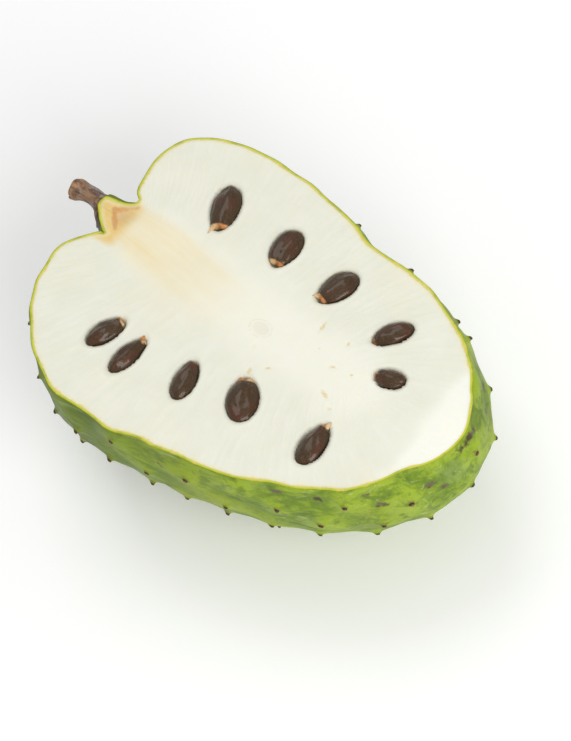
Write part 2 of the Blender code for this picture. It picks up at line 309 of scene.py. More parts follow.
# Hollow in the neck's cut face: the corner that points at the stalk, the way its two sides run from
# there in degrees, its reach and its depth.
HOLLOW_CORNER = Vector((-0.0370, 0.0119))
HOLLOW_SIDES = (37.0, -50.0)
HOLLOW_REACH = 0.0092
HOLLOW_DEPTH = 0.0010
HOLLOW_EDGE = (-0.0003, 0.0012)  # distance from a side over which the hollow sinks
WALL_REACH = 0.0009
WALL_WANDER = 0.0005

# Pale oval in the core: x, y, length, width, turn in degrees.
PALE_OVAL = (0.0317, 0.0021, 0.0075, 0.0052, -5.0)

# Yellow flecks in the core: x, y, length, width, turn in degrees.
FLECKS = (
    (0.0600, 0.0030, 0.0026, 0.0010, 20.0),
    (0.0590, 0.0120, 0.0022, 0.0010, 100.0),
    (0.0480, 0.0130, 0.0044, 0.0013, 95.0),
    (0.0670, 0.0040, 0.0020, 0.0008, -30.0),
    (0.0430, -0.0080, 0.0018, 0.0011, 40.0),
    (0.0385, -0.0120, 0.0032, 0.0013, 100.0),
    (0.0640, -0.0060, 0.0046, 0.0013, -25.0),
    (0.0690, -0.0095, 0.0016, 0.0009, 10.0),
    (0.0340, -0.0040, 0.0016, 0.0009, 60.0),
    (0.0520, 0.0060, 0.0014, 0.0008, 0.0),
)
FLECK_DEPTH = 0.0002

# Stage: half the floor's width, the point lit, and for each softbox its name, width and place.
FLOOR_HALF = 3.0
LIT_POINT = Vector((0.0, 0.0, 0.03))
SOFTBOXES = (
    ("key", 0.9, Vector((1.16, -0.36, 0.82))),
    ("top", 0.8, Vector((-0.50, 0.30, 1.28))),
)

# Camera: the width of its sensor in millimetres, of what it sees at the fruit in metres, its ways to
# the right and backward, and the point that it looks at.
SENSOR_WIDTH = 36.0
FRAME_WIDTH = 0.2302
CAMERA_RIGHT = Vector((0.758, 0.622, -0.196))
CAMERA_BACK = Vector((0.476, -0.321, 0.819))
CAMERA_MIDDLE = Vector((0.0101, -0.0005, 0.046))


# ---------------------------------------------------------------- settings


def colour_setting(name, description, default):
    return FloatVectorProperty(
        name=name, description=description, default=default, size=3, min=0.0, max=1.0, subtype="COLOR"
    )


def length_setting(name, description, default):
    return FloatProperty(name=name, description=description, default=default, unit="LENGTH", precision=5)


def power_setting(name, description, default):
    return FloatProperty(name=name, description=description, default=default, unit="POWER")


class SoursopRindSettings(bpy.types.PropertyGroup):
    cells: IntProperty(name="Cells", description="Cells along each edge of the starting cube", default=42)
    skin: length_setting("Skin", "Thickness of the skin at the cut", 0.0009)
    spine_height: length_setting("Spine Height", "Height of a middling spine", 0.0012)
    spine_radius: length_setting("Spine Radius", "Radius of a spine's flared foot", 0.0018)
    mound: length_setting("Mound", "Rise of the skin toward each spine", 0.0010)
    # The light green on the raised parts and the deep green in the valleys are partly painted light and
    # painted shade.
    light_green: colour_setting("Light Green", "Skin on the raised parts", (0.28, 0.385, 0.020))
    deep_green: colour_setting("Deep Green", "Skin in the valleys", (0.12, 0.20, 0.010))
    olive: colour_setting("Olive", "Broad yellower patches", (0.30, 0.36, 0.018))
    dusty_green: colour_setting("Dusty Green", "Waxy bloom on the skin", (0.31, 0.39, 0.13))
    spine_brown: colour_setting("Spine Brown", "Dried tips of the spines", (0.060, 0.026, 0.012))
    spine_tip: colour_setting("Spine Tip", "Bare ends of the spines", (0.36, 0.17, 0.065))
    rim_yellow: colour_setting("Rim Yellow", "Inner edge of the cut skin", (0.56, 0.58, 0.045))


class SoursopFleshSettings(bpy.types.PropertyGroup):
    cells: IntProperty(name="Cells", description="Cells along each side of the cut face", default=200)
    white: colour_setting("White", "Flesh toward the rind", (0.78, 0.78, 0.66))
    milky: colour_setting("Milky", "Paler flesh along the core", (0.87, 0.86, 0.74))
    cream: colour_setting("Cream", "Warmer patches of flesh", (0.82, 0.79, 0.63))
    tan: colour_setting("Tan", "Fibres that fan out from the neck", (0.83, 0.67, 0.33))
    yellow: colour_setting("Yellow", "Flesh inside the neck", (0.78, 0.55, 0.18))
    orange: colour_setting("Orange", "Streaks round the hollow in the neck", (0.60, 0.32, 0.12))


class SoursopSeedSettings(bpy.types.PropertyGroup):
    segments: IntProperty(name="Segments", description="Faces round a seed", default=36)
    brown: colour_setting("Brown", "Seed coat", (0.046, 0.023, 0.008))
    red: colour_setting("Red", "Warmer patches of the seed coat", (0.068, 0.022, 0.010))
    tip_cream: colour_setting("Tip Cream", "Paler lobe of a seed's tip", (0.68, 0.48, 0.26))
    tip_orange: colour_setting("Tip Orange", "Redder lobe of a seed's tip", (0.55, 0.22, 0.06))


class SoursopStalkSettings(bpy.types.PropertyGroup):
    radius: length_setting("Radius", "Radius of the stalk at its root", 0.0032)
    bark: colour_setting("Bark", "Stalk's bark", (0.27, 0.145, 0.075))
    dark_bark: colour_setting("Dark Bark", "Cracks and the dried collar", (0.060, 0.034, 0.020))


class SoursopStageSettings(bpy.types.PropertyGroup):
    floor: colour_setting("Floor", "Plain pale floor", (0.93, 0.93, 0.93))
    distance: length_setting("Distance", "Camera's distance from the fruit", 2.5)
    key: power_setting("Key", "Power of the softbox on the right", 13.0)
    top: power_setting("Top", "Power of the softbox overhead", 4.0)
    daylight: FloatProperty(name="Daylight", description="Strength of light all round", default=0.56)
    glow: FloatProperty(name="Glow", description="Light that the floor gives off", default=0.10)


# ---------------------------------------------------------------- body shape


def heading(azimuth, elevation):
    azimuth = math.radians(azimuth)
    elevation = math.radians(elevation)
    flat = math.cos(elevation)
    return Vector((flat * math.cos(azimuth), flat * math.sin(azimuth), math.sin(elevation)))


def clamped(value, low=0.0, high=1.0):
    return max(low, min(high, value))


def smooth_step(low, high, value):
    share = clamped((value - low) / (high - low))
    return share * share * (3.0 - 2.0 * share)


def bell(away, spread):
    """1 at no distance, and about a third at the spread."""
    return math.exp(-((away / spread) ** 2))


def flat_noise(x, y, scale, sheet):
    """Noise over a face; each sheet number gives a pattern of its own."""
    return noise.noise(Vector((x * scale, y * scale, sheet)))


def raised(x, y, relief):
    """Height at a point of a relief given as its height, and its noise's scale and sheet."""
    height, scale, sheet = relief
    return height * flat_noise(x, y, scale, sheet)


def drawn_noise(point, along, across):
    """Noise with one scale along X and another across it."""
    return noise.noise(Vector((point.x * along, point.y * across, point.z * across)))


def search_tree(points):
    tree = KDTree(len(points))
    for index, point in enumerate(points):
        tree.insert(point, index)
    tree.balance()
    return tree


def over_egg(ball):
    """Direction in which a point of a unit ball lands when the ball is stretched to the egg."""
    reach = TIP_REACH if ball.x > 0 else SHOULDER_REACH
    return Vector((ball.x * reach, ball.y * HALF_WIDTH, ball.z * HALF_WIDTH)).normalized()


def skin_point(direction):
    """Point of the bare body in a direction from the fruit's centre."""
    along = direction.x
    across = math.sqrt(max(0.0, 1.0 - along * along))
    reach = TIP_REACH if along > 0 else SHOULDER_REACH
    radius = 1.0 / math.hypot(along / reach, across / HALF_WIDTH)
    for azimuth, elevation, height, spread in SWELLINGS:
        away = math.degrees(direction.angle(heading(azimuth, elevation), 0.0))
        radius += height * bell(away, spread)
    return direction * radius


def knife_normal():
    slope = math.radians(FACET_SLOPE)
    turn = math.radians(FACET_TURN)
    flat = math.sin(slope)
    return Vector((flat * math.cos(turn), flat * math.sin(turn), math.cos(slope)))


def cut_height_at(x, y):
    """Height of the cut face: level, then sloping down across the tip, with a soft edge between."""
    normal = knife_normal()
    drop = ((x - FACET_POINT.x) * normal.x + (y - FACET_POINT.y) * normal.y) / normal.z
    if drop < -FACET_SOFTNESS:
        return CUT_HEIGHT
    if drop > FACET_SOFTNESS:
        return CUT_HEIGHT - drop
    return CUT_HEIGHT - (drop + FACET_SOFTNESS) ** 2 / (4 * FACET_SOFTNESS)


def spine_feet():
    """Feet of all spines: a golden-angle spiral round X, closer together toward the stalk."""
    steps = 2000
    strips = []
    for step in range(steps):
        angle = math.pi * (step + 0.5) / steps
        reach = TIP_REACH if angle < math.pi / 2 else SHOULDER_REACH
        strip = math.sin(angle) * math.hypot(reach * math.sin(angle), HALF_WIDTH * math.cos(angle))
        crowd = 1.0 + (SPINE_CROWDING - 1.0) * max(0.0, -math.cos(angle))
        strips.append((angle, strip * crowd))
    share = sum(strip for angle, strip in strips) / SPINE_COUNT
    passed = 0.0
    feet = []
    for angle, strip in strips:
        passed += strip
        if passed > (len(feet) + 0.5) * share:
            turn = len(feet) * GOLDEN_ANGLE
            around = math.sin(angle)
            ball = Vector((math.cos(angle), around * math.cos(turn), around * math.sin(turn)))
            feet.append(skin_point(over_egg(ball)))
    return feet


def spine_fits(foot):
    """True for a spine clear of the cut faces, the stalk's hollow and the flat spot."""
    if foot.z > CUT_HEIGHT - SPINE_MARGIN:
        return False
    if (foot - FACET_POINT).dot(knife_normal()) > -SPINE_MARGIN:
        return False
    if foot.z < REST_HEIGHT + SPINE_CLEARANCE:
        return False
    return (foot - NECK_ROOT).length > BARE_RADIUS


# ---------------------------------------------------------------- mesh helpers


def body_mesh(cells):
    """Closed bare body; the long side toward the tip has its cells halved lengthwise."""
    bm = bmesh.new()
    bmesh.ops.create_cube(bm, size=2.0)
    bmesh.ops.subdivide_edges(bm, edges=bm.edges, cuts=cells - 1, use_grid_fill=True)
    long_edges = []
    for edge in bm.edges:
        run = edge.verts[1].co - edge.verts[0].co
        middle = (edge.verts[1].co + edge.verts[0].co) / 2
        if abs(run.x) > 1e-4 and middle.x > 0:
            long_edges.append(edge)
    bmesh.ops.subdivide_edges(bm, edges=long_edges, cuts=1, use_grid_fill=True)
    for vert in bm.verts:
        evened = Vector([math.tan(part * math.pi / 4) for part in vert.co])
        vert.co = skin_point(over_egg(evened.normalized()))
    bm.normal_update()
    return bm


def cut_open(bm, drop):
    """Take away all above the cut's level face and its sloping facet, each lowered by the drop."""
    planes = ((Vector((0.0, 0.0, 1.0)), Vector((0.0, 0.0, CUT_HEIGHT))), (knife_normal(), FACET_POINT))
    for normal, point in planes:
        plane_point = point - normal * drop
        geometry = list(bm.verts) + list(bm.edges) + list(bm.faces)
        bmesh.ops.bisect_plane(
            bm, geom=geometry, dist=1e-5, plane_co=plane_point, plane_no=normal, clear_outer=True
        )


def snap_to_cut(bm):
    """Move vertices that lie just by a cut onto it, so that the knife leaves no slivers."""
    normal = knife_normal()
    for vert in bm.verts:
        if abs(vert.co.z - CUT_HEIGHT) < CUT_SNAP:
            vert.co.z = CUT_HEIGHT
        above = (vert.co - FACET_POINT).dot(normal)
        if abs(above) < CUT_SNAP:
            vert.co -= normal * above


def mesh_of(bm):
    mesh = bpy.data.meshes.new("shape")
    bm.to_mesh(mesh)
    bm.free()
    return mesh


def subdivided(bm):
    """The mesh rounded once by Subdivision Surface, with its attributes."""
    mesh = mesh_of(bm)
    obj = bpy.data.objects.new("shape", mesh)
    bpy.context.scene.collection.objects.link(obj)
    modifier = obj.modifiers.new("round", "SUBSURF")
    modifier.levels = 1
    modifier.render_levels = 1
    fine = bmesh.new()
    fine.from_object(obj, bpy.context.evaluated_depsgraph_get())
    bpy.data.objects.remove(obj, do_unlink=True)
    bpy.data.meshes.remove(mesh)
    return fine


def add_mesh(bm, other):
    """Put another bmesh's geometry into this one, and return its open edges."""
    mesh = mesh_of(other)
    known = set(bm.edges)
    bm.from_mesh(mesh)
    bpy.data.meshes.remove(mesh)
    return [edge for edge in bm.edges if edge not in known and edge.is_boundary]


def open_loop(bm):
    """Vertices of the mesh's one open edge, in order."""
    edges = {edge for edge in bm.edges if edge.is_boundary}
    first = min(edges, key=lambda edge: edge.index)
    loop = [first.verts[0], first.verts[1]]
    edges.discard(first)
    while edges:
        step = next((edge for edge in loop[-1].link_edges if edge in edges), None)
        if step is None:
            break
        edges.discard(step)
        other = step.other_vert(loop[-1])
        if other is loop[0]:
            break
        loop.append(other)
    if edges:
        raise RuntimeError("the cut edge is not one loop: %d edges left" % len(edges))
    return loop


def loop_edges(bm, loop):
    return [bm.edges.get((vert, loop[index - 1])) for index, vert in enumerate(loop)]


def grow_loop(bm, loop):
    """Extrude the open edge, and return its new vertices in the same order."""
    made = bmesh.ops.extrude_edge_only(bm, edges=loop_edges(bm, loop))["geom"]
    fresh = {item for item in made if isinstance(item, bmesh.types.BMVert)}
    grown = []
    for vert in loop:
        partners = [edge.other_vert(vert) for edge in vert.link_edges]
        grown.append(next(partner for partner in partners if partner in fresh))
    return grown


def nearest_crease(point):
    return min((point - crease).length for crease in CREASES)


def evened_loop(points):
    """The loop's points with small zigzags taken out, and more so in the creases beside the neck."""
    count = len(points)
    for turn in range(CREASE_SMOOTHING):
        evened = [(points[i - 1] + points[i] * 2 + points[(i + 1) % count]) / 4 for i in range(count)]
        for i in range(count):
            if turn < RIM_SMOOTHING or nearest_crease(points[i]) < CREASE_REACH:
                points[i] = evened[i]
    return points


def ways_inward(points):
    """Level unit vectors across a loop toward its inside, evened out along it."""
    count = len(points)
    area = 0.0
    for index, point in enumerate(points):
        before = points[index - 1]
        area += before.x * point.y - point.x * before.y
    side = 1.0 if area > 0 else -1.0
    ways = []
    for index in range(count):
        run = points[(index + 2) % count] - points[index - 2]
        ways.append(Vector((-run.y, run.x, 0.0)).normalized() * side)
    for _ in range(2):
        ways = [(ways[i - 1] + ways[i] * 2 + ways[(i + 1) % count]).normalized() for i in range(count)]
    return ways


def turn_down(bm, loop, ways, inward, drop):
    """Carry the open edge down inside as a wall below a sharp edge, and return the wall's lower end."""
    for edge in loop_edges(bm, loop):
        edge.smooth = False
    loop = grow_loop(bm, loop)
    for vert, way in zip(loop, ways):
        vert.co += way * inward
        vert.co.z -= drop
    return loop


def close_with_bowl(bm, loop, inset, drop):
    """Close the open edge underneath with a bowl, as far inside the skin as the inset."""
    bowl = body_mesh(BOWL_CELLS)
    for vert in bowl.verts:
        vert.co -= vert.normal * inset
        vert.co.z = max(vert.co.z, REST_HEIGHT + inset)
    cut_open(bowl, drop)
    bowl_edges = add_mesh(bm, bowl)
    bmesh.ops.bridge_loops(bm, edges=loop_edges(bm, loop) + bowl_edges)


def keep_piece(bm, name, material, slot, *nodes):
    """Set the finished mesh down in the frame, and hide the parts that it stands for."""
    bmesh.ops.translate(bm, vec=CENTRE, verts=bm.verts)
    for face in bm.faces:
        face.smooth = True
    mesh = mesh_of(bm)
    mesh.name = name
    mesh.materials.append(material)
    piece = bpy.data.objects.new(name, mesh)
    bpy.context.scene.collection.objects.link(piece)
    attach(piece, "root")
    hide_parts(*nodes)


# ---------------------------------------------------------------- material helper


# Sockets of a Mix node that carry its two colours and its result.
MIX_UNDER = 6
MIX_OVER = 7
MIX_RESULT = 2


class Finish:
    """One procedural material: adds its nodes and joins them."""

    def __init__(self, name):
        self.material = bpy.data.materials.new(name)
        self.material.use_nodes = True
        self.tree = self.material.node_tree
        self.shader = self.tree.nodes["Principled BSDF"]
        self.place = self.node("TexCoord").outputs["Object"]

    def put(self, socket, value):
        """Join a node's output to the socket, or set the socket to a number or colour."""
        if isinstance(value, bpy.types.NodeSocket):
            self.tree.links.new(value, socket)
        elif socket.type == "RGBA" and len(value) == 3:
            socket.default_value = (*value, 1.0)
        else:
            socket.default_value = value

    def set(self, **values):
        for name, value in values.items():
            self.put(self.shader.inputs[name.replace("_", " ").title().replace("Ior", "IOR")], value)

    def node(self, kind, **values):
        """Add a node, and join or set the sockets that are named."""
        node = self.tree.nodes.new("ShaderNode" + kind)
        for name, value in values.items():
            self.put(node.inputs[name], value)
        return node

    def attribute(self, name, kind="Fac"):
        node = self.node("Attribute")
        node.attribute_name = name
        return node.outputs[kind]

    def noise(self, scale, detail, roughness, source=None, distortion=0.0):
        """Noise on the piece's own place, or on another source of coordinates."""
        return self.node(
            "TexNoise", Vector=source or self.place, Scale=scale, Detail=detail, Roughness=roughness,
            Distortion=distortion,
        ).outputs["Fac"]

    def drawn(self, scales, detail, roughness, source=None, distortion=0.0):
        """Noise with a scale for each axis, so that it is drawn out."""
        way = self.node("Mapping", Vector=source or self.place, Scale=scales).outputs["Vector"]
        return self.noise(1.0, detail, roughness, way, distortion)

    def cells(self, scale):
        return self.node("TexVoronoi", Vector=self.place, Scale=scale).outputs["Distance"]

    def spot(self, place, size, turn):
        """Distance from a place, counted in the half lengths of an oval there."""
        node = self.node("Mapping", Vector=self.place, Location=place, Rotation=turn, Scale=size)
        node.vector_type = "TEXTURE"
        measure = self.node("VectorMath", Vector=node.outputs["Vector"])
        measure.operation = "LENGTH"
        return measure.outputs["Value"]

    def maths(self, operation, first, second=0.0, third=0.0):
        node = self.node("Math")
        node.operation = operation
        for socket, value in zip(node.inputs, (first, second, third)):
            self.put(socket, value)
        return node.outputs["Value"]

    def between(self, value, low, high, out_low=0.0, out_high=1.0):
        """The value's smooth way from low to high, as a number from out_low to out_high."""
        node = self.node("MapRange")
        node.interpolation_type = "SMOOTHSTEP"
        for socket, number in zip(node.inputs, (value, low, high, out_low, out_high)):
            self.put(socket, number)
        return node.outputs["Result"]

    def times(self, value, *ranged):
        """The value times another that is brought between two numbers first."""
        return self.maths("MULTIPLY", value, self.between(*ranged))

    def mix(self, share, under, over):
        node = self.node("Mix", Factor=share)
        node.data_type = "RGBA"
        self.put(node.inputs[MIX_UNDER], under)
        self.put(node.inputs[MIX_OVER], over)
        return node.outputs[MIX_RESULT]

    def tinted(self, colour, *tints):
        """Lay tones over a colour; each is a value, its low and high, the shares there, and the tone."""
        for value, low, high, share_low, share_high, tone in tints:
            colour = self.mix(self.between(value, low, high, share_low, share_high), colour, tone)
        return colour

    def ramp(self, value, stops):
        node = self.node("ValToRGB", Fac=value)
        elements = node.color_ramp.elements
        while len(elements) < len(stops):
            elements.new(0.5)
        for element, (position, colour) in zip(elements, stops):
            element.position = position
            element.color = (*colour, 1.0)
        return node.outputs["Color"]

    def bumps(self, *layers):
        """Bumps one on another: for each its height, its distance and its strength."""
        normal = None
        for height, distance, strength in layers:
            node = self.node("Bump", Height=height, Distance=distance, Strength=strength)
            if normal:
                self.put(node.inputs["Normal"], normal)
            normal = node.outputs["Normal"]
        return normal


# ---------------------------------------------------------------- rind


def swell_skin(bm, feet, mound, mound_layer, painted_shade_layer):
    """Raise the skin toward each spine, wrinkle it, and mark its mounds and the painted shade on its end
    by the stalk.
    """
    tree = search_tree(feet)
    for vert in bm.verts:
        rise = bell(tree.find(vert.co)[2], MOUND_REACH)
        wrinkle = drawn_noise(vert.co, *WRINKLE_SCALES)
        lump = noise.noise(vert.co * LUMP_SCALE + LUMP_SHIFT)
        # The mound mark lightens raised skin and darkens the valleys: partly painted light and painted
        # shade.
        vert[mound_layer] = clamped(0.55 * rise + 0.25 + 0.5 * lump + 0.25 * wrinkle)
        # painted shade: the skin is marked to be darkened toward the stalk
        vert[painted_shade_layer] = 1.0 - smooth_step(*PAINTED_SHADE_SPAN, vert.co.x)
        fuller = BELLY_FULLNESS * smooth_step(*BELLY_DEPTHS, CUT_HEIGHT - vert.co.z)
        lift = mound * (rise - MOUND_SUNK) + fuller + WRINKLE_HEIGHT * wrinkle + LUMP_HEIGHT * lump
        vert.co += vert.normal * lift
        vert.co.z = max(vert.co.z, REST_HEIGHT)
    bm.normal_update()


def patch_round(start, rings):
    """Faces round a vertex, and its vertices with their shares of the way out to the last ring."""
    shares = {start: 0.0}
    faces = []
    edge_of_patch = [start]
    for ring in range(1, rings + 1):
        following = []
        for vert in edge_of_patch:
            for face in vert.link_faces:
                if face not in faces:
                    faces.append(face)
                for other in face.verts:
                    if other not in shares:
                        shares[other] = ring / rings
                        following.append(other)
        edge_of_patch = following
    return faces, shares


def draw_out(bm, start, rings, foot, out, radius, steps, layer):
    """Make a patch of skin round, and draw it out into a spike.

    Each step gives the centre of the next ring, its radius, and the attribute's value there.
    """
    faces, shares = patch_round(start, rings)
    for vert, share in shares.items():
        offset = vert.co - foot
        lift = out * offset.dot(out)
        flat = offset - lift
        if share:
            vert.co = foot + lift + flat.normalized() * radius * share
    centre = foot
    for following, next_radius, value in steps:
        made = bmesh.ops.extrude_face_region(bm, geom=faces)["geom"]
        bmesh.ops.delete(bm, geom=[face for face in faces if face.is_valid], context="FACES")
        faces = [item for item in made if isinstance(item, bmesh.types.BMFace)]
        for vert in {vert for face in faces for vert in face.verts}:
            offset = vert.co - centre
            flat = offset - out * offset.dot(out)
            vert.co = following + flat * (next_radius / radius)
            vert[layer] = value
        centre = following
        radius = next_radius


def raise_neck(bm, layer):
    """Draw the neck out of the hollow in the shoulder, brown it, and fill the creases beside it."""
    out = (NECK_END - NECK_ROOT).normalized()
    start = min(bm.verts, key=lambda vert: distance_from_axis(vert.co, out))
    cell = start.link_edges[0].calc_length()
    rings = round(NECK_RADIUS / (cell * RING_WIDTH))
    foot = NECK_ROOT + out * (start.co - NECK_ROOT).dot(out)
    steps = []
    for run, radius, drift, value in NECK_STEPS:
        steps.append((NECK_ROOT + out * run + Vector((0.0, drift, 0.0)), radius, value))
    draw_out(bm, start, rings, foot, out, NECK_RADIUS, steps, layer)
    for vert in bm.verts:
        if vert[layer] > 0.0:
            below = (NECK_END.y - vert.co.y) / NECK_WITHERED
            vert[layer] = min(1.0, vert[layer] * (1.0 + clamped(below, NECK_FRESHEST)))
        in_crease = bell(nearest_crease(vert.co), CREASE_REACH)
        if in_crease > CREASE_LEAST:
            vert[layer] = max(vert[layer], CREASE_BROWN * in_crease)
            vert.co += CREASE_FILLED * in_crease


def distance_from_axis(point, out):
    """Distance from the neck's axis, or a metre for a point on the fruit's other side."""
    if point.x > 0:
        return 1.0
    offset = point - NECK_ROOT
    return (offset - out * offset.dot(out)).length


def varied(number, step, count, least, more):
    """Size that changes from spine to spine, in a fixed order."""
    return least + more * ((number * step) % count) / (count - 1)


def raise_spines(bm, feet, settings, layer):
    """Draw a spine out of the skin at each foot that is clear of the cuts; it leans toward the tip."""
    verts = list(bm.verts)
    tree = search_tree([vert.co for vert in verts])
    starts = []
    for number, foot in enumerate(feet):
        if spine_fits(foot):
            starts.append((number, verts[tree.find(foot)[1]]))
    for number, start in starts:
        radius = settings.spine_radius * varied(number, 3, 7, *SPINE_GIRTHS)
        height = settings.spine_height * varied(number, 7, 10, *SPINE_HEIGHTS)
        if start.co.x < STUNTED_FROM:
            radius *= STUNTED_GIRTH
            height *= STUNTED_HEIGHT
        foot = start.co.copy()
        out = start.normal.copy()
        lean = Vector((1.0, 0.0, 0.0)) - out * out.x
        steps = []
        for rise, girth, value in SPINE_STEPS:
            centre = foot + out * height * rise + lean * height * SPINE_LEAN * rise ** SPINE_BEND
            centre.z = max(centre.z, REST_HEIGHT + radius * girth)
            steps.append((centre, radius * girth, value))
        draw_out(bm, start, 1, foot, out, radius, steps, layer)


def add_rim(bm, skin, layer, lip_layer):
    """Turn the cut edge inward over the skin's thickness, then down, and close it with a bowl."""
    loop = open_loop(bm)
    points = evened_loop([vert.co.copy() for vert in loop])
    ways = ways_inward(points)
    for vert, point in zip(loop, points):
        vert.co = point
        vert.co.z = cut_height_at(point.x, point.y) - RIM_ROUNDING
    for inward, value in RIM_STEPS:
        loop = grow_loop(bm, loop)
        for vert, point, way in zip(loop, points, ways):
            vert.co = point + way * min(inward, skin)
            vert.co.z = cut_height_at(vert.co.x, vert.co.y)
            vert[layer] = value
    for number, vert in enumerate(loop, 1):
        vert[lip_layer] = number
    loop = turn_down(bm, loop, ways, WALL_LEAN, WALL_DROP)
    for vert in loop:
        vert[layer] = 1.0
        vert[lip_layer] = 0
    close_with_bowl(bm, loop, BOWL_INSET, BOWL_DROP)


def scar_distance(finish):
    """Distance from the nearest scar, in its own measures, with a frayed edge."""
    nearest = 9.0  # farther than any scar reaches
    for x, y, z, length, width, turn_x, turn_z in SCARS:
        size = (length * SCAR_SPREAD, width * SCAR_SPREAD, width * SCAR_SPREAD)
        turn = (math.radians(turn_x), 0.0, math.radians(turn_z))
        away = finish.spot(CENTRE + Vector((x, y, z)), size, turn)
        nearest = finish.maths("MINIMUM", nearest, away)
    return finish.maths("MULTIPLY_ADD", finish.noise(520.0, 4.0, 0.65), 2.6, nearest)


def rim_tone(finish, settings, rim):
    """Green skin at the rim's outer edge to yellow at its inner one, with stains."""
    stains = finish.noise(210.0, 3.0, 0.6)
    tone = finish.ramp(
        rim,
        (
            (0.0, (0.16, 0.22, 0.014)),
            (0.14, (0.28, 0.34, 0.018)),
            (0.34, (0.50, 0.54, 0.030)),
            (0.72, settings.rim_yellow),
            (1.0, (0.72, 0.68, 0.24)),
        ),
    )
    return finish.tinted(
        tone,
        (stains, 0.52, 0.66, 0.0, 0.40, (0.24, 0.27, 0.02)),  # greener
        (stains, 0.32, 0.48, 0.65, 0.0, (0.74, 0.60, 0.12)),  # yellower
    )


def rind_finish(settings):
    finish = Finish("soursop_rind")
    spine = finish.attribute("spine")
    rim = finish.attribute("rim")
    broad = finish.noise(24.0, 2.0, 0.5)
    patches = finish.noise(70.0, 3.0, 0.55, distortion=0.3)
    creases = finish.drawn((120.0, 380.0, 380.0), 4.0, 0.6, distortion=0.6)
    dots = finish.cells(700.0)
    blotches = finish.drawn((95.0, 210.0, 210.0), 3.0, 0.6, distortion=0.5)
    wax = finish.drawn((36.0, 260.0, 260.0), 3.0, 0.65, distortion=0.8)
    # Painted shade that darkens the skin toward the stalk, broken up by broad noise.
    shaded = finish.times(finish.attribute("shaded"), broad, 0.30, 0.65, 0.6, 1.0)
    scar_share = finish.between(blotches, 0.42, 0.58)
    scar_tone = finish.mix(scar_share, (0.060, 0.036, 0.018), (0.13, 0.10, 0.06))
    # Greens by height: the skin's own mottling, with painted light on the mounds and painted shade in the
    # creases and valleys.
    mound = finish.attribute("mound")
    height = finish.maths("MULTIPLY_ADD", finish.between(creases, 0.35, 0.65), 0.35, mound)
    colour = finish.tinted(
        finish.mix(finish.between(height, 0.20, 1.0), settings.deep_green, settings.light_green),
        (broad, 0.45, 0.68, 0.0, 0.35, settings.olive),
        (patches, 0.50, 0.78, 0.0, 0.40, settings.dusty_green),
        (dots, 0.0, 0.20, 0.35, 0.0, (0.62, 0.66, 0.26)),  # pale dots
        (blotches, 0.52, 0.66, 0.0, 0.65, (0.085, 0.150, 0.010)),  # dark blotches
        (shaded, 0.0, 1.0, 0.0, 0.80, (0.085, 0.125, 0.014)),  # painted shade, darker toward the stalk
        (finish.noise(420.0, 3.0, 0.65), 0.56, 0.68, 0.0, 0.45, (0.11, 0.17, 0.02)),  # pores
        (wax, 0.58, 0.72, 0.0, 0.45, (0.50, 0.56, 0.22)),  # streaks of wax
        (finish.noise(150.0, 5.0, 0.65), 0.66, 0.72, 0.0, 0.7, (0.15, 0.09, 0.025)),  # brown flecks
        (scar_distance(finish), 1.75, 2.35, 0.95, 0.0, scar_tone),
        (spine, 0.04, 0.24, 0.0, 0.55, (0.17, 0.20, 0.025)),  # feet of the spines, and the neck
        (spine, 0.26, 0.56, 0.0, 1.0, settings.spine_brown),
    )
    tips = finish.noise(330.0, 2.0, 0.5)
    bare = finish.times(finish.between(spine, 0.86, 1.0), tips, 0.40, 0.60, 0.15, 0.85)
    colour = finish.mix(bare, colour, settings.spine_tip)
    colour = finish.tinted(colour, (rim, 0.0, 0.08, 0.0, 1.0, rim_tone(finish, settings, rim)))
    surface = finish.bumps(
        (creases, 0.0006, 0.8),
        (finish.noise(800.0, 3.0, 0.6), 0.00012, 0.8),
        (finish.between(dots, 0.0, 0.3), 0.00010, 0.5),
    )
    rough = finish.between(patches, 0.3, 0.7, 0.44, 0.62)
    finish.set(base_color=colour, roughness=rough, normal=surface)
    finish.set(specular_ior_level=0.24)
    return finish.material


class SOURSOP_OT_rind(bpy.types.Operator):
    """Model the thin spiny rind, open at the cut face"""

    bl_idname = "soursop.rind"
    bl_label = "Rind"

    def execute(self, context):
        settings = context.scene.soursop_rind
        bm = body_mesh(settings.cells)
        spine_layer = bm.verts.layers.float.new("spine")
        mound_layer = bm.verts.layers.float.new("mound")
        feet = spine_feet()
        painted_shade_layer = bm.verts.layers.float.new("shaded")
        swell_skin(bm, feet, settings.mound, mound_layer, painted_shade_layer)
        raise_neck(bm, spine_layer)
        bm.normal_update()
        raise_spines(bm, feet, settings, spine_layer)
        snap_to_cut(bm)
        cut_open(bm, 0.0)
        bm = subdivided(bm)
        for vert in bm.verts:
            vert.co.z = max(vert.co.z, REST_HEIGHT)
        rim_layer = bm.verts.layers.float.new("rim")
        lip_layer = bm.verts.layers.int.new("lip")
        add_rim(bm, settings.skin, rim_layer, lip_layer)
        bmesh.ops.recalc_face_normals(bm, faces=bm.faces)
        keep_piece(bm, "rind_skin", rind_finish(settings), "rind", "rind")
        return {"FINISHED"}


# ---------------------------------------------------------------- flesh


class CutOutline:
    """Outline of the cut flesh as distances from its middle, found by direction."""

    def __init__(self, points):
        rows = []
        for point in points:
            offset = point - FLESH_MIDDLE
            rows.append((math.atan2(offset.y, offset.x), math.hypot(offset.x, offset.y)))
        rows.sort()
        self.angles = [angle for angle, reach in rows]
        self.reaches = [reach for angle, reach in rows]
        self.tree = search_tree([(point.x, point.y, 0.0) for point in points])

    def reach(self, angle):
        after = bisect_left(self.angles, angle) % len(self.angles)
        span = (self.angles[after] - self.angles[after - 1]) % math.tau
        share = ((angle - self.angles[after - 1]) % math.tau) / max(span, 1e-9)
        return self.reaches[after - 1] * (1.0 - share) + self.reaches[after] * share

    def distance(self, x, y):
        return self.tree.find((x, y, 0.0))[2]


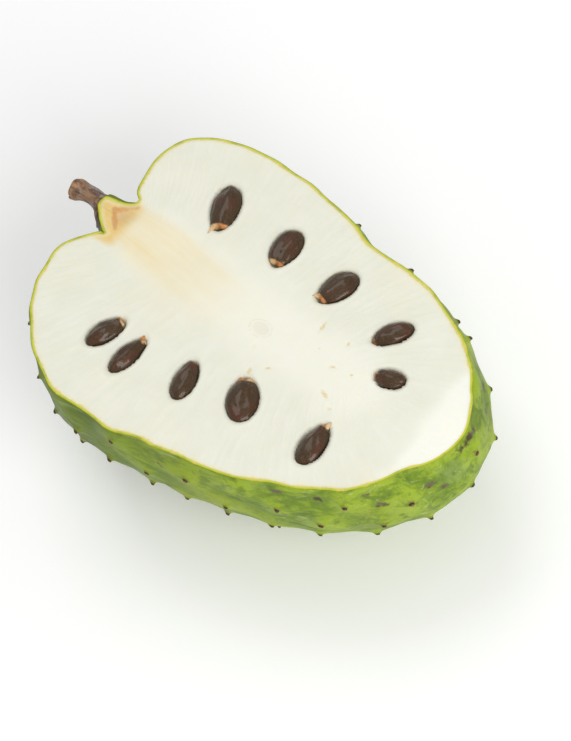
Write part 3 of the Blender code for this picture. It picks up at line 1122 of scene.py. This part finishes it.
def lip_points():
    """The rind's inner edge at the cut, in order, about the fruit's centre."""
    rind = bpy.data.objects.get("rind_skin")
    if rind is None:
        raise RuntimeError("the flesh is laid out from the rind, so the rind is built first")
    numbered = []
    for vert, mark in zip(rind.data.vertices, rind.data.attributes["lip"].data):
        if mark.value:
            numbered.append((mark.value, vert.co - CENTRE))
    numbered.sort(key=lambda row: row[0])
    return [row[1] for row in numbered]


def oval_place(oval, x, y):
    """A point along and across an oval given as x, y, length, width and turn; 1 is its outline."""
    oval_x, oval_y, length, width, pointing = oval[:5]
    turn = math.radians(pointing)
    along = ((x - oval_x) * math.cos(turn) + (y - oval_y) * math.sin(turn)) / (length / 2)
    across = ((y - oval_y) * math.cos(turn) - (x - oval_x) * math.sin(turn)) / (width / 2)
    return along, across


def out_of_oval(oval, x, y):
    """How far out a point lies in an oval, where 1 is its outline."""
    return math.hypot(*oval_place(oval, x, y))


def out_of_seed(seed, x, y):
    """How far out a point lies in a seed, where 1 is its outline."""
    along, across = oval_place(seed, x, y)
    across /= seed_taper(clamped(along, -1.0))
    return math.hypot(along, across)


def seed_taper(along):
    return 1.0 - 0.11 * along - 0.04 * along * along


def hollow_at(x, y):
    """Share of the hollow's depth at a point, and nearness to its walls, which meet toward the stalk."""
    offset = Vector((x, y)) - HOLLOW_CORNER
    inside = 1.0
    wall = 0.0
    for degrees, side in zip(HOLLOW_SIDES, (-1.0, 1.0)):
        turn = math.radians(degrees)
        run = Vector((math.cos(turn), math.sin(turn)))
        away = side * (run.x * offset.y - run.y * offset.x)
        inside *= smooth_step(*HOLLOW_EDGE, away)
        along = clamped(offset.dot(run), 0.0, HOLLOW_REACH * 0.8)
        off_wall = (offset - run * along).length + WALL_WANDER * flat_noise(x, y, 420, degrees)
        wall = max(wall, bell(max(off_wall, 0.0), WALL_REACH) * (1.0 - 0.30 * along / HOLLOW_REACH))
    inside *= 1.0 - smooth_step(HOLLOW_REACH * 0.25, HOLLOW_REACH * 0.95, offset.length)
    return inside, wall


def fan_at(x, y):
    """Strength of the tan fibres, their coordinates across and along, and share of the neck's flesh."""
    ahead = (x - FAN_START) * 1000
    middle = FAN_MIDDLE + FAN_DRIFT * max(ahead, 0.0) / 1000
    half = FAN_HALF + FAN_WIDENING * (1.0 - math.exp(-max(ahead, 0.0) / 8.0))
    across = (y - middle) / half
    side = 1.0 - smooth_step(0.55, 1.20, abs(across))
    fade = 1.0 - smooth_step(*FAN_FADE, x)
    inside_neck = 1.0 - smooth_step(*NECK_MOUTH, x)
    inside_neck *= 1.0 - smooth_step(*NECK_CLEAR, abs(y - FAN_MIDDLE))
    paler = 1.0 - FAN_PALER * smooth_step(0.0, 0.9, -across)
    return max(side * fade * paler, inside_neck), across, ahead / 100, inside_neck


def fleck_at(x, y):
    wander = 1.0 + 0.5 * flat_noise(x, y, 900, 4.0)
    return max(bell(out_of_oval(fleck, x, y) * wander, 1.0) for fleck in FLECKS)


def core_at(x, y):
    """Nearness to the fruit's core, and the pale oval on it: 1 inside, and below 0 at its darker edge."""
    run = CORE_END - CORE_START
    offset = Vector((x, y, 0.0)) - CORE_START
    share = clamped(offset.dot(run) / run.length_squared, 0.15)
    away = (offset - run * share).length
    out = out_of_oval(PALE_OVAL, x, y)
    oval = (1.0 - smooth_step(0.75, 0.98, out)) - 0.8 * bell(out - 1.08, 0.10)
    return bell(away, CORE_REACH), oval


def fibre_way(x, y):
    """Coordinates across and along the fibres, which run out from the core's line on all sides."""
    middle = (CORE_START + CORE_END) / 2
    half = (CORE_END - CORE_START) / 2
    point = complex(x - middle.x, y - middle.y) / complex(half.x, half.y)
    out = cmath.acosh(point)
    return out.imag, abs(out.real)


def pocket_at(x, y):
    """Height of the flesh beside and under the seeds, and nearness to the nearest one, for the painted
    shadow round it.
    """
    height = 0.0
    shade = 0.0
    for seed in SEEDS:
        if abs(x - seed[0]) > SEED_LANE or abs(y - seed[1]) > SEED_LANE:
            continue
        out = out_of_seed(seed, x, y)
        gap = (out - 1.0) * seed[3] / 2
        # painted shadow on the flesh, fading out from the seed's edge
        shade = max(shade, bell(max(gap, 0.0), RING_REACH))
        if out < SEED_SNUG:
            height = -SEED_DEPTH - 0.0002 - SEED_THICKNESS / 2 * math.sqrt(1.0 - out * out)
        elif gap < 0.0002:
            height = min(height, -SEED_DEPTH * (1.0 - smooth_step(SEED_SNUG, 1.0, out)))
        lip = smooth_step(0.0001, 0.0005, gap) * (1.0 - smooth_step(0.0005, 0.0024, gap))
        height += LIP_HEIGHT * lip * (0.6 + 0.6 * flat_noise(x, y, 150, 1.0))
    return height, shade


def over_outline(u, v, outline):
    """Where a point of a square from -1 to 1 lands when the square is spread over the outline."""
    disc_x = u * math.sqrt(1.0 - v * v / 2)
    disc_y = v * math.sqrt(1.0 - u * u / 2)
    angle = math.atan2(disc_y, disc_x)
    reach = math.hypot(disc_x, disc_y) * outline.reach(angle)
    return FLESH_MIDDLE.x + reach * math.cos(angle), FLESH_MIDDLE.y + reach * math.sin(angle)


def lay_out_cut(bm, outline):
    """Spread a square grid over the outline, give it the flesh's relief, and mark it for the finish."""
    layers = [bm.verts.layers.float.new(name) for name in FLESH_MARKS]
    fibre_layer = bm.verts.layers.float_vector.new("fibre")
    fan_layer = bm.verts.layers.float_vector.new("fan_way")
    for vert in bm.verts:
        u, v = vert.co.x, vert.co.y
        x, y = over_outline(u, v, outline)
        rim = 0.0 if max(abs(u), abs(v)) > 0.9999 else outline.distance(x, y)
        inside, wall = hollow_at(x, y)
        fan, across_fan, along_fan, inside_neck = fan_at(x, y)
        fleck = fleck_at(x, y)
        core, oval = core_at(x, y)
        pocket, shade = pocket_at(x, y)
        relief = raised(x, y, FLESH_LUMPS)
        relief += raised(x, y, FLESH_GRAIN)
        relief += fan * raised(across_fan, along_fan, FAN_RIDGES)
        relief -= HOLLOW_DEPTH * inside
        relief -= FLECK_DEPTH * fleck
        free = smooth_step(0.0, RIM_FREE, rim)
        vert.co = Vector((x, y, cut_height_at(x, y) + (relief + pocket) * free))
        # The sloping facet is marked for the painted light that makes it paler.
        ragged = raised(x, y, SLOPE_RAGGED)
        slope = smooth_step(0.0, 0.0003, CUT_HEIGHT - cut_height_at(x + ragged, y))
        edge = min(1.0, rim / EDGE_WIDTH)
        marks = (edge, shade, fan, inside_neck, inside, wall, fleck, core, oval, slope)
        for layer, value in zip(layers, marks):
            vert[layer] = value
        vert[fibre_layer] = Vector((*fibre_way(x, y), 0.0))
        vert[fan_layer] = Vector((across_fan, along_fan, 0.0))


def flesh_finish(settings):
    finish = Finish("soursop_flesh")
    edge, shade, fan, neck, hollow, wall, fleck, core, oval, slope = map(finish.attribute, FLESH_MARKS)
    fibre = finish.attribute("fibre", "Vector")
    fan_way = finish.attribute("fan_way", "Vector")
    broad = finish.noise(26.0, 2.0, 0.5)
    speckle = finish.noise(360.0, 3.0, 0.6)
    off_core = finish.node("SeparateXYZ", Vector=fibre).outputs["Y"]
    fibres = finish.maths("SUBTRACT", finish.drawn((30.0, 4.0, 1.0), 3.0, 0.55, fibre), 0.5)
    fibres = finish.times(fibres, off_core, 0.05, 0.50)
    streaks = finish.drawn((1.7, 1.8, 1.0), 2.0, 0.55, fan_way, 0.35)
    threads = finish.drawn((9.0, 2.6, 1.0), 3.0, 0.6, fan_way)
    tan_share = finish.times(fan, streaks, 0.32, 0.66, 0.50, 0.88)
    tan_share = finish.times(tan_share, threads, 0.25, 0.70, 0.70, 1.0)
    colour = finish.tinted(
        settings.white,
        (core, 0.1, 0.9, 0.0, 0.85, settings.milky),
        (broad, 0.46, 0.70, 0.0, 0.7, settings.cream),
        (finish.noise(85.0, 3.0, 0.55), 0.35, 0.70, 0.0, 0.35, (0.85, 0.85, 0.75)),  # clouds
        (fibres, -0.05, 0.25, 0.0, 0.20, (0.88, 0.87, 0.77)),  # paler fibres
    )
    colour = finish.mix(tan_share, colour, settings.tan)
    colour = finish.mix(finish.times(neck, threads, 0.30, 0.70, 0.70, 1.0), colour, settings.yellow)
    ragged = finish.maths("ADD", edge, 0.22)
    ragged = finish.maths("MULTIPLY_ADD", finish.noise(240.0, 3.0, 0.6), -0.55, ragged)
    hollow_share = finish.times(hollow, speckle, 0.25, 0.65, 0.75, 1.0)
    wall_share = finish.times(wall, speckle, 0.25, 0.65, 0.70, 1.0)
    colour = finish.tinted(
        colour,
        (oval, 0.0, 1.0, 0.0, 0.7, (0.80, 0.76, 0.64)),  # pale oval
        (oval, -0.8, -0.1, 0.35, 0.0, (0.70, 0.62, 0.46)),  # its darker edge
        (fleck, 0.20, 0.80, 0.0, 0.75, (0.74, 0.56, 0.24)),
        (hollow_share, 0.10, 1.0, 0.0, 0.60, (0.70, 0.47, 0.28)),  # floor of the hollow
        (wall_share, 0.10, 0.75, 0.0, 0.90, settings.orange),
        (ragged, -0.06, 0.42, 0.60, 0.0, (0.83, 0.76, 0.44)),  # yellower toward the rind
        (ragged, -0.10, 0.12, 0.90, 0.0, (0.76, 0.62, 0.17)),
        (shade, 0.25, 1.0, 0.0, 0.30, (0.56, 0.54, 0.40)),  # painted shadow round the seeds
    )
    # Painted light: the sloping facet by the tip is paler, as it faces the key light.
    colour = finish.mix(finish.maths("MULTIPLY", slope, 0.8), colour, (0.90, 0.90, 0.81))
    surface = finish.bumps(
        (fibres, 0.0004, 0.4),
        (finish.noise(700.0, 3.0, 0.6), 0.00006, 0.6),
        (tan_share, 0.0003, 0.4),
    )
    finish.set(base_color=colour, roughness=finish.between(broad, 0.3, 0.7, 0.38, 0.50), normal=surface)
    finish.set(subsurface_weight=0.30, subsurface_radius=(1.0, 0.85, 0.6), subsurface_scale=0.0018)
    finish.set(specular_ior_level=0.32)
    return finish.material


class SOURSOP_OT_flesh(bpy.types.Operator):
    """Model the white flesh, level with the rind's cut edge and hollowed round each seed"""

    bl_idname = "soursop.flesh"
    bl_label = "Flesh"

    def execute(self, context):
        settings = context.scene.soursop_flesh
        outline = CutOutline(lip_points())
        bm = bmesh.new()
        bmesh.ops.create_grid(bm, x_segments=settings.cells, y_segments=settings.cells, size=1.0)
        lay_out_cut(bm, outline)
        loop = open_loop(bm)
        ways = ways_inward([vert.co.copy() for vert in loop])
        loop = turn_down(bm, loop, ways, FLESH_GAP, FLESH_DROP)
        close_with_bowl(bm, loop, BOWL_INSET + FLESH_GAP, FLESH_BOWL_DROP)
        bmesh.ops.recalc_face_normals(bm, faces=bm.faces)
        keep_piece(bm, "flesh_pulp", flesh_finish(settings), "flesh", "flesh")
        return {"FINISHED"}


# ---------------------------------------------------------------- seeds


def seed_body(ball, length, width, tip_size, point):
    """Where a point of a unit ball lands on a smooth seed with its blunt, cleft tip."""
    along = ball.x
    girth = math.hypot(ball.y, ball.z)
    blunt = smooth_step(0.55, 1.0, along) * tip_size
    wide = 1.0 if girth < 1e-6 else max(girth, 0.02) ** (-0.42 * blunt)
    pinch = 1.0 - 0.07 * tip_size * bell(along - 0.80, 0.07)
    narrow = 1.0 - 0.42 * point * smooth_step(-0.2, 1.0, along)
    taper = seed_taper(along) * narrow
    place = Vector((
        along * length / 2,
        ball.y * width / 2 * taper * wide * pinch,
        ball.z * (SEED_THICKNESS / 2 - SEED_SWELL * 2) * (1.0 - 0.05 * along) * wide * pinch,
    ))
    cleft = bell(place.y, CLEFT_WIDTH) * smooth_step(0.80, 0.97, along) * tip_size
    place.x -= CLEFT_DEPTH * cleft + TIP_FLATTENED * blunt * blunt
    return place


def seed_relief(ball, shift):
    """How far the facets, the dents and the keel push a point of a seed out."""
    facet, dent = [
        height * noise.noise(ball * scale + shift) for height, scale in (SEED_FACETS, SEED_DENTS)
    ]
    keel = bell(ball.y - 0.12 - 0.1 * ball.x, 0.16) * smooth_step(0.0, 0.6, ball.z)
    away = Vector((0.3 * ball.x, ball.y, ball.z))
    if away.length < 1e-6:
        return Vector()
    return away.normalized() * (facet + dent + KEEL_HEIGHT * keel)


def seed_mesh(seed, number, segments):
    """Flattened egg with a blunt two-lobed tip, soft facets and a keel."""
    x, y, length, width, pointing, tip_size, roll, tail, point = seed
    length -= SEED_SWELL * 2
    width -= SEED_SWELL * 2
    bm = bmesh.new()
    bmesh.ops.create_uvsphere(
        bm, u_segments=segments, v_segments=round(segments * 0.7), radius=1.0,
        matrix=Matrix.Rotation(math.pi / 2, 4, "Y"),
    )
    tip_layer = bm.verts.layers.float.new("tip")
    lobe_layer = bm.verts.layers.float.new("lobe")
    way_layer = bm.verts.layers.float_vector.new("way")
    shift = Vector((number * 3.7, number * 1.3, 0.0))
    for vert in bm.verts:
        ball = vert.co.copy()
        place = seed_body(ball, length, width, tip_size, point)
        ragged = flat_noise(place.y, place.z, 900, number)
        place.x += TIP_RAGGED * ragged * smooth_step(0.86, 1.0, ball.x) * tip_size
        ring = 0.85 - 0.12 * tip_size + 0.05 * flat_noise(ball.y, ball.z, 3, number)
        vert[tip_layer] = smooth_step(ring, ring + 0.05, ball.x) * smooth_step(0.0, 0.3, tip_size)
        vert[lobe_layer] = smooth_step(-0.18, 0.12, ball.y + 0.1 * ragged)
        vert[way_layer] = ball + shift
        vert.co = place + seed_relief(ball, shift)
    if tail:
        add_tail(bm, tip_layer, tail, width)
    bmesh.ops.recalc_face_normals(bm, faces=bm.faces)
    turn = Matrix.Rotation(math.radians(pointing), 4, "Z") @ Matrix.Rotation(math.radians(roll), 4, "X")
    middle = Matrix.Translation((x, y, CUT_HEIGHT - SEED_DEPTH))
    bmesh.ops.transform(bm, matrix=middle @ turn, verts=bm.verts)
    return bm


def add_tail(bm, tip_layer, tail, width):
    """Pale shred of the seed's stalk, drawn out of one lobe of the tip."""
    side = math.copysign(1.0, tail)
    reach = abs(tail)
    front = max(vert.co.x for vert in bm.verts)
    spot = Vector((front, side * width * 0.22, 0.0008))
    start = min(bm.verts, key=lambda vert: (vert.co - spot).length_squared)
    foot = start.co.copy()
    steps = []
    for share, girth in TAIL_STEPS:
        centre = foot + Vector((reach * share, side * 0.25 * reach * share * share, 0.0004 * share))
        steps.append((centre, TAIL_RADIUS * girth, 1.0))
    draw_out(bm, start, 1, foot, Vector((1.0, 0.0, 0.0)), TAIL_RADIUS, steps, tip_layer)


def seed_finish(settings):
    finish = Finish("soursop_seed")
    tip = finish.attribute("tip")
    lobe = finish.attribute("lobe")
    way = finish.attribute("way", "Vector")
    tones = finish.noise(1.0, 2.0, 0.5, way)
    grain = finish.drawn((2.6, 8.0, 8.0), 4.0, 0.65, way)
    mottle = finish.noise(4.5, 3.0, 0.6, way)
    colour = finish.tinted(
        settings.brown,
        (tones, 0.50, 0.66, 0.0, 1.0, settings.red),
        (grain, 0.48, 0.76, 0.0, 0.55, (0.078, 0.044, 0.020)),  # paler grain
        (mottle, 0.58, 0.72, 0.0, 0.45, (0.15, 0.080, 0.026)),  # tan mottling
    )
    tip_tone = finish.mix(lobe, settings.tip_cream, settings.tip_orange)
    tip_tone = finish.tinted(tip_tone, (mottle, 0.48, 0.62, 0.0, 0.6, (0.52, 0.24, 0.09)))
    colour = finish.mix(tip, colour, tip_tone)
    rough = finish.maths("MULTIPLY_ADD", tip, 0.25, finish.between(grain, 0.35, 0.70, 0.20, 0.36))
    surface = finish.bumps((grain, 0.0003, 0.40), (mottle, 0.0006, 0.55))
    finish.set(base_color=colour, roughness=rough, normal=surface, coat_weight=0.42, coat_roughness=0.07)
    finish.set(specular_ior_level=0.28, specular_tint=(1.0, 0.88, 0.74), coat_tint=(1.0, 0.94, 0.86))
    return finish.material


class SOURSOP_OT_seeds(bpy.types.Operator):
    """Model the ten dark seeds with their pale tips"""

    bl_idname = "soursop.seeds"
    bl_label = "Seeds"

    def execute(self, context):
        settings = context.scene.soursop_seeds
        material = seed_finish(settings)
        for number, seed in enumerate(SEEDS, 1):
            bm = seed_mesh(seed, number, settings.segments)
            keep_piece(bm, "seed_coat_%02d" % number, material, "seed", "seed_%02d" % number)
        return {"FINISHED"}


# ---------------------------------------------------------------- stalk


def stalk_root(radius):
    """First ring of the stalk, and the flat end that it grows from."""
    bm = bmesh.new()
    first = NECK_END + Vector(STALK_RUN[0][:3])
    turn = Matrix.Rotation(-math.pi / 2, 4, "Y")
    bmesh.ops.create_cone(
        bm, cap_ends=True, segments=STALK_SIDES, radius1=radius, radius2=radius, depth=0.001,
        matrix=Matrix.Translation(first) @ turn,
    )
    return bm, max(bm.faces, key=lambda face: face.normal.dot(STALK_WAY))


def grow_stalk(bm, cap, radius):
    """Extrude the flat end along the stalk's run, to the knob."""
    centre = cap.calc_center_median()
    girth = 1.0
    for x, y, z, following in STALK_RUN[1:]:
        made = bmesh.ops.extrude_face_region(bm, geom=[cap])["geom"]
        if cap.is_valid:
            bmesh.ops.delete(bm, geom=[cap], context="FACES_ONLY")
        cap = next(item for item in made if isinstance(item, bmesh.types.BMFace))
        place = NECK_END + Vector((x, y, z))
        for vert in cap.verts:
            offset = vert.co - centre
            flat = offset - STALK_WAY * offset.dot(STALK_WAY)
            vert.co = place + flat * (following / girth)
        centre = place
        girth = following
    bmesh.ops.inset_region(bm, faces=[cap], thickness=radius * 0.1, depth=0.0)


def add_sepal(bm):
    """Dried stub of one sepal beside the stalk's root."""
    root = NECK_END + SEPAL_ROOT
    end = NECK_END + SEPAL_END
    turn = (end - root).to_track_quat("Z", "Y").to_matrix().to_4x4()
    flattened = Matrix.Diagonal((1.0, SEPAL_FLATNESS, 1.0, 1.0))
    bmesh.ops.create_cone(
        bm, cap_ends=True, segments=10, radius1=SEPAL_RADII[0], radius2=SEPAL_RADII[1],
        depth=(end - root).length, matrix=Matrix.Translation((root + end) / 2) @ turn @ flattened,
    )


def roughen_bark(bm, radius):
    """Long cracks and knots in the bark, and a torn end; the root is kept under the cut."""
    dark = bm.verts.layers.float.new("dark")
    knob = bm.verts.layers.float.new("knob")
    bm.normal_update()
    for vert in bm.verts:
        run = NECK_END.x - vert.co.x
        cracks = drawn_noise(vert.co, *CRACK_SCALES)
        knots = noise.noise(vert.co * KNOT_SCALE + KNOT_SHIFT)
        end = smooth_step(*KNOB_RUN, run)
        torn = smooth_step(*TORN_RUN, run) * (0.6 + 0.8 * knots)
        collar = bell(run, COLLAR_REACH)
        ragged = 0.5 + 0.9 * noise.noise(vert.co * TEAR_SCALE)
        vert[knob] = end
        vert[dark] = min(1.0, collar * 0.5 + max(0.0, 0.4 - cracks * 1.5) * 0.5 + 0.6 * torn)
        lift = 0.08 * cracks + 0.10 * knots * (1.0 + end) + 0.10 * collar * ragged
        vert.co += vert.normal * (radius * lift)
        if run < ROOT_LENGTH:
            vert.co.z = min(vert.co.z, CUT_HEIGHT - ROOT_BELOW_CUT)


def stalk_finish(settings):
    finish = Finish("soursop_stalk")
    grain = finish.drawn((240.0, 1100.0, 1100.0), 4.0, 0.65)
    patches = finish.noise(230.0, 3.0, 0.6)
    streaks = finish.drawn((150.0, 520.0, 520.0), 3.0, 0.6)
    stains = finish.drawn((260.0, 420.0, 420.0), 3.0, 0.6)
    colour = finish.tinted(
        settings.bark,
        (patches, 0.38, 0.62, 0.0, 1.0, (0.33, 0.20, 0.12)),  # paler bark
        (streaks, 0.47, 0.58, 0.0, 0.9, (0.33, 0.29, 0.27)),  # grey streaks
    )
    knob_share = finish.maths("MULTIPLY", finish.attribute("knob"), 0.8)
    colour = finish.tinted(
        finish.mix(knob_share, colour, (0.42, 0.21, 0.080)),
        (stains, 0.50, 0.62, 0.0, 0.75, (0.10, 0.050, 0.030)),
        (grain, 0.30, 0.50, 0.75, 0.0, settings.dark_bark),
        (finish.attribute("dark"), 0.40, 0.95, 0.0, 0.85, settings.dark_bark),
    )
    surface = finish.bumps((grain, 0.0005, 0.9))
    finish.set(base_color=colour, roughness=finish.between(grain, 0.3, 0.7, 0.85, 0.62), normal=surface)
    return finish.material


class SOURSOP_OT_stalk(bpy.types.Operator):
    """Model the short woody stalk with its dried collar"""

    bl_idname = "soursop.stalk"
    bl_label = "Stalk"

    def execute(self, context):
        settings = context.scene.soursop_stalk
        bm, cap = stalk_root(settings.radius)
        grow_stalk(bm, cap, settings.radius)
        add_sepal(bm)
        bm = subdivided(subdivided(bm))
        roughen_bark(bm, settings.radius)
        bmesh.ops.recalc_face_normals(bm, faces=bm.faces)
        keep_piece(bm, "stalk_bark", stalk_finish(settings), "stalk", "stalk")
        return {"FINISHED"}


# ---------------------------------------------------------------- stage


def add_softbox(name, power, width, place):
    data = bpy.data.lights.new(name, "AREA")
    data.energy = power
    data.size = width
    light = bpy.data.objects.new(name, data)
    light.location = place
    light.rotation_euler = (LIT_POINT - place).to_track_quat("-Z", "Y").to_euler()
    bpy.context.scene.collection.objects.link(light)


class SOURSOP_OT_stage(bpy.types.Operator):
    """Lay the pale floor, and set up the soft lights and the camera"""

    bl_idname = "soursop.stage"
    bl_label = "Stage"

    def execute(self, context):
        settings = context.scene.soursop_stage
        self.add_floor(context, settings)
        self.add_daylight(context, settings)
        for name, width, place in SOFTBOXES:
            add_softbox(name, getattr(settings, name), width, place)
        self.add_camera(context, settings)
        context.scene.view_settings.view_transform = "Standard"
        return {"FINISHED"}

    def add_floor(self, context, settings):
        bm = bmesh.new()
        bmesh.ops.create_grid(bm, x_segments=1, y_segments=1, size=FLOOR_HALF)
        mesh = mesh_of(bm)
        mesh.name = "floor"
        floor = bpy.data.objects.new("floor", mesh)
        context.scene.collection.objects.link(floor)
        finish = Finish("pale_floor")
        finish.set(base_color=settings.floor, roughness=0.7)
        finish.set(emission_color=(1.0, 1.0, 1.0), emission_strength=settings.glow)
        mesh.materials.append(finish.material)

    def add_daylight(self, context, settings):
        world = bpy.data.worlds.new("studio")
        world.use_nodes = True
        background = world.node_tree.nodes["Background"]
        background.inputs["Color"].default_value = (1.0, 1.0, 1.0, 1.0)
        background.inputs["Strength"].default_value = settings.daylight
        context.scene.world = world

    def add_camera(self, context, settings):
        right = CAMERA_RIGHT.normalized()
        back = (CAMERA_BACK - right * CAMERA_BACK.dot(right)).normalized()
        up = back.cross(right)
        data = bpy.data.cameras.new("camera")
        data.lens = SENSOR_WIDTH * settings.distance / FRAME_WIDTH
        camera = bpy.data.objects.new("camera", data)
        place = CAMERA_MIDDLE + back * settings.distance
        turn = Matrix((right, up, back)).transposed().to_4x4()
        camera.matrix_world = Matrix.Translation(place) @ turn
        context.scene.collection.objects.link(camera)
        context.scene.camera = camera


# ---------------------------------------------------------------- add-on


class SOURSOP_PT_panel(bpy.types.Panel):
    """Builds the soursop half piece by piece"""

    bl_idname = "SOURSOP_PT_panel"
    bl_label = "Soursop Half"
    bl_space_type = "VIEW_3D"
    bl_region_type = "UI"
    bl_category = "Soursop"

    def draw(self, context):
        for operator, name, group in STEPS:
            box = self.layout.box()
            box.operator(operator.bl_idname)
            for setting in group.__annotations__:
                box.prop(getattr(context.scene, name), setting)


# Each step's operator, and its settings' name on the scene and group, in the order of building.
STEPS = (
    (SOURSOP_OT_rind, "soursop_rind", SoursopRindSettings),
    (SOURSOP_OT_flesh, "soursop_flesh", SoursopFleshSettings),
    (SOURSOP_OT_seeds, "soursop_seeds", SoursopSeedSettings),
    (SOURSOP_OT_stalk, "soursop_stalk", SoursopStalkSettings),
    (SOURSOP_OT_stage, "soursop_stage", SoursopStageSettings),
)


def register():
    for operator, name, group in STEPS:
        bpy.utils.register_class(group)
        setattr(bpy.types.Scene, name, PointerProperty(type=group))
        bpy.utils.register_class(operator)
    bpy.utils.register_class(SOURSOP_PT_panel)


def unregister():
    bpy.utils.unregister_class(SOURSOP_PT_panel)
    for operator, name, group in reversed(STEPS):
        bpy.utils.unregister_class(operator)
        delattr(bpy.types.Scene, name)
        bpy.utils.unregister_class(group)


def main():
    register()
    bpy.ops.soursop.rind()
    bpy.ops.soursop.flesh()
    bpy.ops.soursop.seeds()
    bpy.ops.soursop.stalk()
    bpy.ops.soursop.stage()


if __name__ == "__main__":
    main()
